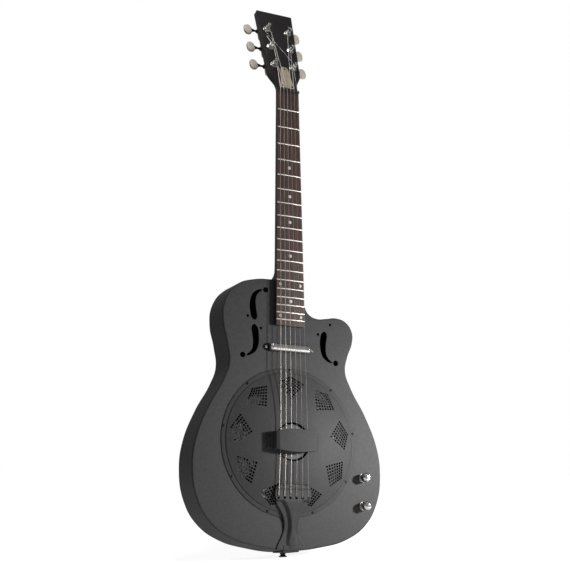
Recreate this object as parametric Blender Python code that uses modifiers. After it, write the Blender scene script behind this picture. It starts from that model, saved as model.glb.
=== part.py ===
"""Resonator guitar: thin metal body, single cone with a biscuit bridge, cutaway and one pickup.

The guitar stands upright on its end pin. Z runs up the neck, the front faces -Y and +X is the
treble side. The origin is the middle of the end pin's flat end. Lengths are in millimetres
until they go through mm(), which gives metres.
"""

import math

import bmesh
import bpy
from mathutils import Matrix, Vector

# ---- driving dimensions, in millimetres and degrees ----
SCALE_LENGTH = 648.0
NUT_Z = 845.0
FRET_COUNT = 19
BODY_JOIN_FRET = 14
NUT_WIDTH = 43.0
FINGERBOARD_WIDTH_AT_JOIN = 54.5
FRET_PLANE_Y = -42.0
FRET_HEIGHT = 1.1
FRET_CROWN = 2.2
FINGERBOARD_THICKNESS = 6.0
FINGERBOARD_TAIL = 11.0

BODY_HALF_DEPTH = 30.0
SHEET = 1.3
GAP = 0.3

RESONATOR_Z = 196.0
WELL_RADIUS = 121.5
CONE_RADIUS = 117.5

HEAD_TILT = 17.0
HEAD_LENGTH = 189.0
HEAD_THICKNESS = 14.0
HEAD_FACE_DROP = 3.0
NUT_THICKNESS = 5.0

POST_STATIONS = (60.5, 103.0, 145.5)
POST_OFFSETS = (20.0, 21.1, 22.2)
WORM_OFFSET = 10.0
WORM_DEPTH = 21.0
GEAR_TEETH = 14

PICKUP_Z = 362.5
KNOB_X = 146.0
VOLUME_Z = 139.0
TONE_Z = 89.0
JACK_Z = 148.0
STRING_RADII = (0.68, 0.53, 0.43, 0.33, 0.24, 0.2)
STRING_SPREAD_NUT = 35.5
STRING_SPREAD_SADDLE = 53.0
STRING_SPREAD_TAIL = 58.0
SADDLE_Z = NUT_Z - SCALE_LENGTH
SADDLE_TOP_Y = -48.0
TAIL_HOLE_Z = 99.0

# Body outline from the tail block round the bass side to the neck, then down the treble side.
LOWER_BOUT = ((62.0, 16.0), (110.0, 28.5), (151.0, 55.0), (175.5, 95.0), (184.0, 148.0),
              (178.0, 195.0), (155.5, 250.0), (126.0, 301.0), (115.5, 331.0))
BASS_UPPER = ((-119.5, 366.0), (-127.5, 405.0), (-123.5, 440.0), (-100.0, 471.0), (-64.0, 484.5))
TREBLE_UPPER = ((120.5, 357.0), (131.0, 384.0), (131.5, 404.0), (119.0, 422.0), (99.0, 428.0),
                (78.0, 425.2), (60.0, 423.2), (45.0, 428.0), (36.0, 439.0))
NECK_CORNER = (30.0, 487.5)
TAIL_Z = 9.5
OUTLINE_RESOLUTION = 4
DETAIL_RESOLUTION = 2

# One half of an f-hole: its middle line and half width, from the blunt end to the thin tip.
F_HOLE_LINE = ((0.0, -9.6, 5.8), (1.0, -14.0, 6.3), (2.2, -21.0, 6.3), (2.9, -30.0, 5.9), (2.3, -40.0, 5.2),
               (-0.6, -49.0, 4.2), (-6.6, -55.6, 2.8), (-15.0, -60.0, 0.9))
F_HOLE_BASS = (-67.0, 406.0)
F_HOLE_TREBLE = (72.5, 404.5)
F_DOT_LARGE = (-22.8, -60.3, 5.0)
F_DOT_SMALL = (12.7, -9.9, 2.5)

TURN_STEPS = 40
SMALL_STEPS = 16


def mm(*values):
    """Millimetres to metres, one value or a vector."""
    if len(values) == 1:
        return values[0] / 1000.0
    return Vector(value / 1000.0 for value in values)


FRONT_Y = -BODY_HALF_DEPTH
FINGERBOARD_FACE_Y = FRET_PLANE_Y + FRET_HEIGHT
NECK_TOP_Y = FINGERBOARD_FACE_Y + FINGERBOARD_THICKNESS + GAP
HEAD_MATRIX = (Matrix.Translation(mm(0.0, FRET_PLANE_Y + HEAD_FACE_DROP, NUT_Z))
               @ Matrix.Rotation(math.radians(-HEAD_TILT), 4, "X"))


def fret_z(number):
    """Height of a fret on the equal-tempered scale."""
    return NUT_Z - SCALE_LENGTH * (1.0 - 2.0 ** (-number / 12.0))


def board_half_width(z):
    """Half width of the fingerboard at height z."""
    share = (NUT_Z - z) / (NUT_Z - fret_z(BODY_JOIN_FRET))
    return (NUT_WIDTH + (FINGERBOARD_WIDTH_AT_JOIN - NUT_WIDTH) * share) / 2.0


# ---- scene, materials and collections ----
for leftover in list(bpy.data.objects):
    bpy.data.objects.remove(leftover)

guitar = bpy.data.collections.new("resonator_guitar")
cutters = bpy.data.collections.new("cutters")
bpy.context.scene.collection.children.link(guitar)
bpy.context.scene.collection.children.link(cutters)


def make_material(name, colour, roughness, metallic):
    material = bpy.data.materials.new(name)
    material.use_nodes = True
    shader = material.node_tree.nodes["Principled BSDF"]
    shader.inputs["Base Color"].default_value = (*colour, 1.0)
    shader.inputs["Roughness"].default_value = roughness
    shader.inputs["Metallic"].default_value = metallic
    return material


FINISHES = {
    "black_coat": make_material("black_coat", (0.055, 0.053, 0.056), 0.55, 0.2),
    "ebonised_wood": make_material("ebonised_wood", (0.02, 0.014, 0.014), 0.4, 0.0),
    "rosewood": make_material("rosewood", (0.07, 0.035, 0.025), 0.5, 0.0),
    "maple": make_material("maple", (0.55, 0.38, 0.2), 0.5, 0.0),
    "aluminium": make_material("aluminium", (0.78, 0.78, 0.79), 0.35, 1.0),
    "nickel": make_material("nickel", (0.68, 0.64, 0.56), 0.22, 1.0),
    "chrome": make_material("chrome", (0.8, 0.8, 0.8), 0.08, 1.0),
    "steel": make_material("steel", (0.5, 0.48, 0.45), 0.3, 1.0),
    "black_plastic": make_material("black_plastic", (0.015, 0.015, 0.015), 0.35, 0.0),
}


def place(name, mesh, finish, matrix=None, group=guitar):
    """Put a mesh in the scene as an object with its finish."""
    thing = bpy.data.objects.new(name, mesh)
    if matrix is not None:
        thing.matrix_world = matrix
    if finish:
        mesh.materials.clear()
        mesh.materials.append(FINISHES[finish])
    group.objects.link(thing)
    return thing


def shade_round(thing, angle=35.0):
    thing.data.shade_smooth()
    thing.data.set_sharp_from_angle(angle=math.radians(angle))
    return thing


def bevel(thing, width, segments=2, angle=35.0):
    """Round the edges that are sharper than an angle."""
    rounding = thing.modifiers.new("rounded_edges", "BEVEL")
    rounding.width = mm(width)
    rounding.segments = segments
    rounding.limit_method = "ANGLE"
    rounding.angle_limit = math.radians(angle)
    return thing


def box_mesh(low, high):
    """A box between two corners."""
    low = mm(*low)
    high = mm(*high)
    middle = (low + high) / 2.0
    size = high - low
    shape = bmesh.new()
    bmesh.ops.create_cube(shape, size=1.0, matrix=Matrix.Translation(middle) @ Matrix.Diagonal((*size, 1.0)))
    mesh = bpy.data.meshes.new("box")
    shape.to_mesh(mesh)
    shape.free()
    return mesh


def rod_mesh(start, end, radius, segments=SMALL_STEPS):
    """A round bar between two points."""
    start = mm(*start)
    end = mm(*end)
    along = end - start
    turn = along.to_track_quat("Z", "Y").to_matrix().to_4x4()
    shape = bmesh.new()
    bmesh.ops.create_cone(shape, cap_ends=True, segments=segments, radius1=mm(radius), radius2=mm(radius),
                          depth=along.length, matrix=Matrix.Translation((start + end) / 2.0) @ turn)
    mesh = bpy.data.meshes.new("rod")
    shape.to_mesh(mesh)
    shape.free()
    return mesh


def turned(name, profile, finish, centre, steps=TURN_STEPS, ring=False, matrix=None):
    """Turn a profile of (radius, height towards the front) about an axis along -Y through centre."""
    mesh = bpy.data.meshes.new(name)
    points = [mm(radius, 0.0, height) for radius, height in profile]
    edges = [(i, i + 1) for i in range(len(points) - 1)]
    if ring:
        edges.append((len(points) - 1, 0))
    mesh.from_pydata(points, edges, [])
    if matrix is None:
        matrix = Matrix.Translation(mm(*centre)) @ Matrix.Rotation(math.pi / 2, 4, "X")
    thing = place(name, mesh, finish, matrix)
    screw = thing.modifiers.new("turn", "SCREW")
    screw.steps = steps
    screw.render_steps = steps
    screw.use_merge_vertices = True
    screw.merge_threshold = 0.00001
    screw.use_smooth_shade = True
    return thing


def outline_mesh(name, points, thickness, fill="BOTH", smooth=True, corners=(),
                 resolution=DETAIL_RESOLUTION):
    """A flat outline, extruded to a thickness and made a welded mesh."""
    curve = bpy.data.curves.new(name, "CURVE")
    curve.dimensions = "2D"
    curve.fill_mode = fill
    curve.extrude = mm(thickness) / 2.0
    curve.resolution_u = resolution
    spline = curve.splines.new("BEZIER" if smooth else "POLY")
    spline.use_cyclic_u = True
    if smooth:
        spline.bezier_points.add(len(points) - 1)
        for index, (point, (x, z)) in enumerate(zip(spline.bezier_points, points)):
            kind = "VECTOR" if index in corners else "AUTO"
            point.co = mm(x, z, 0.0)
            point.handle_left_type = kind
            point.handle_right_type = kind
    else:
        spline.points.add(len(points) - 1)
        for point, (x, z) in zip(spline.points, points):
            point.co = (*mm(x, z, 0.0), 1.0)
    drawn = bpy.data.objects.new(name, curve)
    guitar.objects.link(drawn)
    bpy.context.view_layer.update()
    mesh = bpy.data.meshes.new_from_object(drawn.evaluated_get(bpy.context.evaluated_depsgraph_get()))
    bpy.data.objects.remove(drawn)
    shape = bmesh.new()
    shape.from_mesh(mesh)
    bmesh.ops.remove_doubles(shape, verts=shape.verts, dist=0.00001)
    bmesh.ops.recalc_face_normals(shape, faces=shape.faces)
    shape.to_mesh(mesh)
    shape.free()
    return mesh


def cut(target, mesh, matrix=None, operation="DIFFERENCE"):
    """Cut a mesh out of a target, or join it on, with a cutter kept in its own collection."""
    cutter = place(f"{target.name}_cutter", mesh, None, matrix, cutters)
    cutter.hide_render = True
    cutter.display_type = "WIRE"
    step = target.modifiers.new(operation.lower(), "BOOLEAN")
    step.operation = operation
    step.object = cutter
    return target


def at_front(y):
    """Matrix that stands a flat outline upright in the plane at depth y."""
    return Matrix.Translation(mm(0.0, y, 0.0)) @ Matrix.Rotation(math.pi / 2, 4, "X")


# ---- body ----
def body_outline():
    """Outline points from the tail up the bass side and down the treble side."""
    bass = [(-x, z) for x, z in LOWER_BOUT]
    neck = [(-NECK_CORNER[0], NECK_CORNER[1]), NECK_CORNER]
    treble = list(reversed(LOWER_BOUT))
    upper = list(reversed(TREBLE_UPPER))
    points = [(0.0, TAIL_Z), *bass, *BASS_UPPER, *neck, *upper, *treble]
    first_corner = 1 + len(bass) + len(BASS_UPPER)
    return points, (first_corner, first_corner + 1)


def comma(centre, flip_x=1.0, flip_z=1.0):
    """One half of an f-hole as a closed outline with a round blunt end."""
    line = [(centre[0] + flip_x * x, centre[1] + flip_z * z, half) for x, z, half in F_HOLE_LINE]
    left = []
    right = []
    for index, (x, z, half) in enumerate(line):
        before = line[max(index - 1, 0)]
        after = line[min(index + 1, len(line) - 1)]
        along = Vector((after[0] - before[0], after[1] - before[1])).normalized()
        left.append((x - along.y * half, z + along.x * half))
        right.append((x + along.y * half, z - along.x * half))
    start = Vector(line[0][:2]) - Vector(line[1][:2])
    blunt = Vector(line[0][:2]) + start.normalized() * line[0][2]
    end = Vector(line[-1][:2]) + (Vector(line[-1][:2]) - Vector(line[-2][:2])).normalized()
    return [tuple(blunt), *left, tuple(end), *reversed(right)]


def through_front(x, z, radius, segments=SMALL_STEPS):
    """A round cutter through the front sheet."""
    return rod_mesh((x, FRONT_Y - 6.0, z), (x, FRONT_Y + 6.0, z), radius, segments)


def make_top_plate():
    points, corners = body_outline()
    sheet = outline_mesh("top_plate", points, SHEET, corners=corners, resolution=OUTLINE_RESOLUTION)
    top = place("top_plate", sheet, "black_coat", at_front(FRONT_Y + SHEET / 2.0))
    cut(top, through_front(0.0, RESONATOR_Z, WELL_RADIUS - 1.5, TURN_STEPS))
    halves = (
        (F_HOLE_BASS, 1.0, 1.0),
        (F_HOLE_BASS, -1.0, -1.0),
        (F_HOLE_TREBLE, -1.0, 1.0),
    )
    for centre, flip_x, flip_z in halves:
        shape = outline_mesh("f_hole", comma(centre, flip_x, flip_z), 12.0)
        cut(top, shape, at_front(FRONT_Y))
        x, z, radius = F_DOT_LARGE
        cut(top, through_front(centre[0] + flip_x * x, centre[1] + flip_z * z, radius, 12))
        x, z, radius = F_DOT_SMALL
        cut(top, through_front(centre[0] + flip_x * x, centre[1] + flip_z * z, radius, 8))
    x, z, radius = F_DOT_SMALL
    cut(top, through_front(F_HOLE_TREBLE[0] + x, F_HOLE_TREBLE[1] - z, radius, 8))
    for z in (VOLUME_Z, TONE_Z):
        cut(top, through_front(KNOB_X, z, 5.0))
    cut(top, box_mesh((-20.0, FRONT_Y - 6.0, PICKUP_Z - 4.0), (20.0, FRONT_Y + 6.0, PICKUP_Z + 4.0)))
    return top


def make_side_band():
    points, corners = body_outline()
    depth = 2.0 * (BODY_HALF_DEPTH - SHEET - GAP)
    wall = outline_mesh("side_band", points, depth, "NONE", corners=corners, resolution=OUTLINE_RESOLUTION)
    band = place("side_band", wall, "black_coat", at_front(0.0))
    thickness = band.modifiers.new("sheet", "SOLIDIFY")
    thickness.thickness = mm(SHEET)
    thickness.offset = -1.0
    thickness.use_even_offset = True
    stick = box_mesh((-21.0, 1.5, NECK_CORNER[1] - 8.0), (21.0, 26.5, NECK_CORNER[1] + 4.0))
    cut(band, stick)
    cut(band, rod_mesh((170.0, 0.0, JACK_Z), (200.0, 0.0, JACK_Z), 5.2))
    cut(band, rod_mesh((0.0, 0.0, 0.0), (0.0, 0.0, 25.0), 3.4))
    return band


def make_back_plate():
    points, corners = body_outline()
    sheet = outline_mesh("back_plate", points, SHEET, corners=corners, resolution=OUTLINE_RESOLUTION)
    return place("back_plate", sheet, "black_coat", at_front(BODY_HALF_DEPTH - SHEET / 2.0))


# ---- resonator ----
WELL_LEDGE_HEIGHT = 7.0
CONE_RISE = 25.5
APEX_RADIUS = 31.0
BISCUIT_RADIUS = 31.5
BISCUIT_THICKNESS = 6.5


def make_sound_well():
    """A cup under the front sheet with a ledge for the cone and an open bottom."""
    top = BODY_HALF_DEPTH - SHEET - GAP
    ledge = WELL_LEDGE_HEIGHT
    inner = WELL_RADIUS - SHEET
    profile = [(WELL_RADIUS + 5.0, top), (WELL_RADIUS + 5.0, top - SHEET), (WELL_RADIUS, top - SHEET),
               (WELL_RADIUS, ledge - SHEET), (104.0, ledge - SHEET), (104.0, ledge), (inner, ledge),
               (inner, top)]
    return turned("sound_well", profile, "aluminium", (0.0, 0.0, RESONATOR_Z), ring=True)


def make_resonator_cone():
    """The spun cone: a rolled rim on the ledge, a straight flank and a flat apex."""
    rim = WELL_LEDGE_HEIGHT + GAP
    apex = rim + CONE_RISE
    profile = [(0.0, apex), (APEX_RADIUS - 2.0, apex), (APEX_RADIUS, apex - 1.0), (CONE_RADIUS - 6.0, rim + 2.2),
               (CONE_RADIUS, rim + 2.2), (CONE_RADIUS, rim), (CONE_RADIUS - 7.0, rim),
               (APEX_RADIUS - 1.0, apex - 2.3), (APEX_RADIUS - 2.5, apex - 1.0), (0.0, apex - 1.0)]
    return turned("resonator_cone", profile, "aluminium", (0.0, 0.0, RESONATOR_Z))


def make_biscuit():
    low = WELL_LEDGE_HEIGHT + GAP + CONE_RISE + GAP
    high = low + BISCUIT_THICKNESS
    profile = [(0.0, high), (BISCUIT_RADIUS - 1.0, high), (BISCUIT_RADIUS, high - 1.0), (BISCUIT_RADIUS, low),
               (0.0, low)]
    biscuit = turned("biscuit", profile, "maple", (0.0, 0.0, RESONATOR_Z), steps=40)
    slot = box_mesh((-29.5, -high - 2.0, SADDLE_Z - 1.8), (29.5, -high + 3.0, SADDLE_Z + 1.8))
    return cut(biscuit, slot)


def make_saddle():
    """A wedge of maple standing in the biscuit's slot, its top edge under the strings."""
    foot = -(WELL_LEDGE_HEIGHT + 2.0 * GAP + CONE_RISE + BISCUIT_THICKNESS) + 3.0 - GAP
    half = 27.5
    section = [(-half, SADDLE_Z - 1.5), (half, SADDLE_Z - 1.5), (half, SADDLE_Z + 1.5), (-half, SADDLE_Z + 1.5)]
    height = foot - SADDLE_TOP_Y
    mesh = outline_mesh("saddle", section, height, smooth=False)
    return bevel(place("saddle", mesh, "maple", at_front((foot + SADDLE_TOP_Y) / 2.0)), 0.5, 1)


COVER_PROFILE = ((131.3, 0.0), (124.5, 0.6), (123.5, 2.0), (119.5, 2.4), (104.0, 5.2), (82.0, 8.0),
                 (58.0, 10.2), (34.0, 11.2))
COVER_SHEET = 1.0


def make_cover_plate():
    """The domed cover with its round hole over the bridge."""
    base = BODY_HALF_DEPTH + GAP
    under = [(radius, base + rise) for radius, rise in COVER_PROFILE]
    over = [(radius, height + COVER_SHEET) for radius, height in reversed(under)]
    return turned("cover_plate", over + under, "black_coat", (0.0, 0.0, RESONATOR_Z), ring=True, steps=40)


# ---- palm rest ----
REST_TOP_Y = -60.5
REST_HALF_TOP = 40.2
REST_HALF_FOOT = 42.6
REST_HALF_FLANGE = 50.0
REST_FOOT_Y = -43.7
REST_SHEET = 1.6


def make_palm_rest():
    """A bent strap over the bridge: a bowed top, steep legs and a flange each side."""
    half_steps = [(0.0, REST_TOP_Y - 0.8), (REST_HALF_TOP - 6.0, REST_TOP_Y), (REST_HALF_TOP, REST_TOP_Y + 1.8),
                  (REST_HALF_FOOT - 1.8, REST_FOOT_Y - 2.4), (REST_HALF_FOOT, REST_FOOT_Y),
                  (REST_HALF_FLANGE, REST_FOOT_Y + 0.6)]
    line = [(-x, y) for x, y in reversed(half_steps)] + half_steps[1:]
    shape = bmesh.new()
    rows = []
    for x, y in line:
        half_width = 20.2 - 5.2 * min(abs(x) / REST_HALF_FOOT, 1.0) ** 2
        rows.append([shape.verts.new(mm(x, y, RESONATOR_Z + share * half_width)) for share in (-1.0, 0.0, 1.0)])
    for row, following in zip(rows, rows[1:]):
        for side in range(2):
            shape.faces.new((row[side], row[side + 1], following[side + 1], following[side]))
    bmesh.ops.recalc_face_normals(shape, faces=shape.faces)
    mesh = bpy.data.meshes.new("palm_rest")
    shape.to_mesh(mesh)
    shape.free()
    rest = place("palm_rest", mesh, "black_coat")
    sheet = rest.modifiers.new("sheet", "SOLIDIFY")
    sheet.thickness = mm(REST_SHEET)
    sheet.offset = 0.0
    sheet.use_even_offset = True
    return rest


# ---- tailpiece and end pin ----
TAILPIECE_HALF = ((22.0, 121.5), (31.5, 118.5), (34.5, 110.0), (33.8, 98.0), (28.0, 85.5), (20.5, 74.5),
                  (15.4, 64.0), (13.6, 53.0), (14.6, 43.0), (18.8, 32.0), (24.2, 22.0), (27.6, 14.5))
TAILPIECE_LOW_Y = FRONT_Y - 2.4
TAILPIECE_TILT = 6.8
TAILPIECE_FAN_BEND = 8.8
TAILPIECE_BEND_RISE = 82.0
TAILPIECE_SHEET = 2.0


def tailpiece_y(z):
    """Middle depth of the fan at height z: the stem rises from the tail, the fan lies flatter."""
    rise = z - TAIL_Z
    stem = min(rise, TAILPIECE_BEND_RISE) * math.tan(math.radians(TAILPIECE_TILT))
    fan = max(rise - TAILPIECE_BEND_RISE, 0.0) * math.tan(math.radians(TAILPIECE_FAN_BEND - TAILPIECE_TILT))
    return TAILPIECE_LOW_Y - stem + fan


def bend_fan(mesh):
    """Fold the fan back towards the cover along a line across the plate."""
    crease = mm(TAILPIECE_BEND_RISE)
    shape = bmesh.new()
    shape.from_mesh(mesh)
    everything = shape.verts[:] + shape.edges[:] + shape.faces[:]
    bmesh.ops.bisect_plane(shape, geom=everything, plane_co=(0.0, crease, 0.0), plane_no=(0.0, 1.0, 0.0))
    for vertex in shape.verts:
        if vertex.co.y > crease:
            vertex.co.z -= (vertex.co.y - crease) * math.tan(math.radians(TAILPIECE_FAN_BEND))
    shape.to_mesh(mesh)
    shape.free()


def make_tailpiece():
    """A fan plate that hooks over the tail and is held by the end pin."""
    right = [(x, z - TAIL_Z) for x, z in TAILPIECE_HALF]
    points = [(0.0, 112.8), *right, (28.0, 1.5), (-28.0, 1.5), *[(-x, z) for x, z in reversed(right)]]
    corners = (len(right) + 1, len(right) + 2)
    tilt = (Matrix.Translation(mm(0.0, TAILPIECE_LOW_Y, TAIL_Z))
            @ Matrix.Rotation(math.radians(90.0 + TAILPIECE_TILT), 4, "X"))
    plate = outline_mesh("tailpiece", points, TAILPIECE_SHEET, corners=corners, resolution=3)
    bend_fan(plate)
    tailpiece = place("tailpiece", plate, "black_coat", tilt)
    low = TAIL_Z - GAP - TAILPIECE_SHEET
    cut(tailpiece, box_mesh((-15.0, TAILPIECE_LOW_Y - 0.9, low), (15.0, 8.0, TAIL_Z - GAP)), operation="UNION")
    cut(tailpiece, box_mesh((-15.0, TAILPIECE_LOW_Y - 0.9, low + 0.5), (15.0, FRONT_Y - GAP, TAIL_Z + 5.0)),
        operation="UNION")
    for index in range(6):
        x = STRING_SPREAD_TAIL * (index / 5.0 - 0.5)
        y = tailpiece_y(TAIL_HOLE_Z)
        cut(tailpiece, rod_mesh((x, y - 5.0, TAIL_HOLE_Z), (x, y + 5.0, TAIL_HOLE_Z), 2.3, 12))
    cut(tailpiece, rod_mesh((0.0, 0.0, low - 2.0), (0.0, 0.0, TAIL_Z + 2.0), 3.4))
    return tailpiece


def make_end_pin():
    """A flared strap button with a shank into the neck stick."""
    collar = TAIL_Z - GAP - TAILPIECE_SHEET - GAP
    profile = [(0.0, 34.0), (2.0, 33.0), (3.0, 30.0), (3.0, collar), (5.5, collar), (4.4, collar - 2.2),
               (5.0, 2.6), (7.0, 1.6), (7.2, 0.8), (6.4, 0.0), (0.0, 0.0)]
    return turned("end_pin", profile, "black_plastic", None, steps=20, matrix=Matrix.Identity(4))


# ---- neck, fingerboard and headstock ----
NECK_SECTIONS = (
    # height, depth of the back below the neck's top, width share, fullness of the curve
    (851.0, 15.0, 1.0, 2.2),
    (800.0, 15.5, 1.0, 2.2),
    (640.0, 17.0, 1.0, 2.2),
    (530.0, 18.5, 1.0, 2.2),
    (507.0, 19.6, 1.0, 2.2),
    (499.5, 23.0, 0.99, 2.3),
    (494.5, 32.0, 0.96, 2.6),
    (491.0, 44.0, 0.93, 3.0),
    (NECK_CORNER[1] + GAP, 54.0, 0.92, 3.2),
)
NECK_SIDE_POINTS = 14
TRUSS_Y = NECK_TOP_Y + 5.2
TRUSS_RADIUS = 2.5
TRUSS_TOP_Z = 862.0


def neck_section(z, depth, share, power):
    """Half-round section of the neck: flat under the fingerboard, a superellipse behind."""
    half = (board_half_width(z) - 0.2) * share
    points = []
    for step in range(NECK_SIDE_POINTS + 1):
        angle = math.pi * step / NECK_SIDE_POINTS
        x = math.copysign(abs(math.cos(angle)) ** (2.0 / power), math.cos(angle)) * half
        y = abs(math.sin(angle)) ** (2.0 / power) * depth
        points.append(mm(x, NECK_TOP_Y + y, z))
    return points


def make_neck():
    """Neck, heel, headstock and the tongue over the body, in one piece of wood."""
    shape = bmesh.new()
    rings = [[shape.verts.new(point) for point in neck_section(*section)] for section in NECK_SECTIONS]
    count = len(rings[0])
    for ring, following in zip(rings, rings[1:]):
        for i in range(count):
            j = (i + 1) % count
            shape.faces.new((ring[i], ring[j], following[j], following[i]))
    shape.faces.new(rings[0])
    shape.faces.new(rings[-1])
    bmesh.ops.recalc_face_normals(shape, faces=shape.faces)
    mesh = bpy.data.meshes.new("neck")
    shape.to_mesh(mesh)
    shape.free()
    neck = place("neck", mesh, "ebonised_wood")

    half = NUT_WIDTH / 2.0
    flare = [(half, 6.8), (half, 14.0), (half + 1.2, 22.0), (half + 6.5, 32.0), (31.8, 41.0), (32.6, 50.0)]
    outline = [*flare, (37.0, HEAD_LENGTH), (-37.0, HEAD_LENGTH), *[(-x, s) for x, s in reversed(flare)]]
    slab = outline_mesh("headstock", outline, HEAD_THICKNESS, smooth=False)
    stand = Matrix.Translation(mm(0.0, HEAD_THICKNESS / 2.0, 0.0)) @ Matrix.Rotation(math.pi / 2, 4, "X")
    cut(neck, slab, HEAD_MATRIX @ stand, operation="UNION")

    tongue_end = fret_z(FRET_COUNT) - FINGERBOARD_TAIL
    tongue = box_mesh((-25.5, NECK_TOP_Y, tongue_end + 3.0), (25.5, FRONT_Y - GAP, NECK_CORNER[1] + 12.0))
    cut(neck, tongue, operation="UNION")
    cut(neck, box_mesh((-3.2, NECK_TOP_Y - 8.0, 500.0), (3.2, TRUSS_Y + 4.0, 882.0)))
    for station, offset in zip(POST_STATIONS, POST_OFFSETS):
        for side in (-1.0, 1.0):
            hole = rod_mesh((side * offset, -5.0, station), (side * offset, HEAD_THICKNESS + 5.0, station), 4.4)
            cut(neck, hole, HEAD_MATRIX)
    return neck


def make_neck_stick():
    """The wooden stick that runs through the body from the heel to the tail."""
    mesh = box_mesh((-20.0, 2.2, TAIL_Z + SHEET + 1.5), (20.0, 26.0, NECK_CORNER[1]))
    stick = place("neck_stick", mesh, "maple")
    return cut(stick, rod_mesh((0.0, 0.0, -5.0), (0.0, 0.0, 40.0), 3.4))


def make_fingerboard():
    """The board with its frets, drawn as a side profile and tapered to the string spread."""
    low = fret_z(FRET_COUNT) - FINGERBOARD_TAIL
    back = FINGERBOARD_FACE_Y + FINGERBOARD_THICKNESS
    profile = [(back, low), (FINGERBOARD_FACE_Y, low)]
    for number in range(FRET_COUNT, 0, -1):
        z = fret_z(number)
        profile += [(FINGERBOARD_FACE_Y, z - FRET_CROWN / 2.0), (FRET_PLANE_Y, z - FRET_CROWN / 4.0),
                    (FRET_PLANE_Y, z + FRET_CROWN / 4.0), (FINGERBOARD_FACE_Y, z + FRET_CROWN / 2.0)]
    profile += [(FINGERBOARD_FACE_Y, NUT_Z - GAP), (back, NUT_Z - GAP)]
    shape = bmesh.new()
    for side in (-1.0, 1.0):
        ring = [shape.verts.new(mm(side * board_half_width(z), y, z)) for y, z in profile]
        shape.faces.new(ring)
    bmesh.ops.bridge_loops(shape, edges=shape.edges)
    bmesh.ops.recalc_face_normals(shape, faces=shape.faces)
    mesh = bpy.data.meshes.new("fingerboard")
    shape.to_mesh(mesh)
    shape.free()
    return place("fingerboard", mesh, "rosewood")


def make_nut():
    half = NUT_WIDTH / 2.0
    mesh = box_mesh((-half, FRET_PLANE_Y, NUT_Z), (half, NECK_TOP_Y - GAP, NUT_Z + NUT_THICKNESS))
    return bevel(place("nut", mesh, "black_plastic"), 0.6, 2)


def make_truss_rod():
    mesh = rod_mesh((0.0, TRUSS_Y, 503.0), (0.0, TRUSS_Y, TRUSS_TOP_Z), TRUSS_RADIUS, 12)
    rod = shade_round(place("truss_rod", mesh, "steel"))
    nut = rod_mesh((0.0, TRUSS_Y, TRUSS_TOP_Z + GAP), (0.0, TRUSS_Y, TRUSS_TOP_Z + 5.5), 2.9, 6)
    place("truss_rod_nut", nut, "steel")
    return rod


def make_truss_rod_cover():
    """A bell-shaped plate on the headstock's face."""
    points = [(-15.0, 9.0), (-13.6, 16.4), (-10.6, 33.7), (-8.4, 50.0), (-5.0, 57.5), (5.0, 57.5), (8.4, 50.0),
              (10.6, 33.7), (13.6, 16.4), (15.0, 9.0)]
    mesh = outline_mesh("truss_rod_cover", points, 1.4, smooth=False)
    stand = Matrix.Translation(mm(0.0, -GAP - 0.7, 0.0)) @ Matrix.Rotation(math.pi / 2, 4, "X")
    return place("truss_rod_cover", mesh, "nickel", HEAD_MATRIX @ stand)


# ---- pickup, controls and jack ----
PICKUP_RADIUS = 7.1
PICKUP_HALF = 40.0
PICKUP_Y = -36.6
BASE_HALF = 49.5


def make_pickup():
    """A round-ended metal tube over a slim base that takes the two screws."""
    end = PICKUP_RADIUS
    low_side = [(-BASE_HALF, -2.2), (-BASE_HALF + 2.2, -3.9), (-BASE_HALF + 7.0, -4.2), (-BASE_HALF + 10.5, -7.0)]
    low_side += [(-x, z) for x, z in reversed(low_side)]
    points = low_side + [(x, -z) for x, z in reversed(low_side)]
    shape = outline_mesh("pickup_base", points, 1.4, smooth=False)
    stand = at_front(FRONT_Y - GAP - 0.7)
    base = place("pickup_base", shape, "black_plastic", Matrix.Translation(mm(0.0, 0.0, PICKUP_Z)) @ stand)
    profile = [(0.0, PICKUP_HALF), (end * 0.55, PICKUP_HALF - 1.0), (end * 0.88, PICKUP_HALF - 3.3),
               (end, PICKUP_HALF - 6.5), (end, 6.5 - PICKUP_HALF), (end * 0.88, 3.3 - PICKUP_HALF),
               (end * 0.55, 1.0 - PICKUP_HALF), (0.0, -PICKUP_HALF)]
    lie = Matrix.Translation(mm(0.0, PICKUP_Y, PICKUP_Z)) @ Matrix.Rotation(math.pi / 2, 4, "Y")
    tube = turned("pickup_tube", profile, "chrome", None, steps=20, matrix=lie)
    slab = box_mesh((-60.0, FRONT_Y - 2.0, PICKUP_Z - 20.0), (60.0, FRONT_Y + 20.0, PICKUP_Z + 20.0))
    cut(tube, slab)
    for name, side in (("pickup_screw_bass", -1.0), ("pickup_screw_treble", 1.0)):
        x = side * 45.5
        cut(base, rod_mesh((x, FRONT_Y - 5.0, PICKUP_Z), (x, FRONT_Y + 5.0, PICKUP_Z), 1.7, 12))
        cut(bpy.data.objects["top_plate"], through_front(x, PICKUP_Z, 1.7, 12))
        screw = [(0.0, 3.8), (1.4, 3.6), (2.2, 3.0), (2.4, 2.1), (1.3, 2.1), (1.3, -7.0), (0.0, -8.0)]
        turned(name, screw, "nickel", (x, FRONT_Y, PICKUP_Z), steps=12)
    return tube


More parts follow.
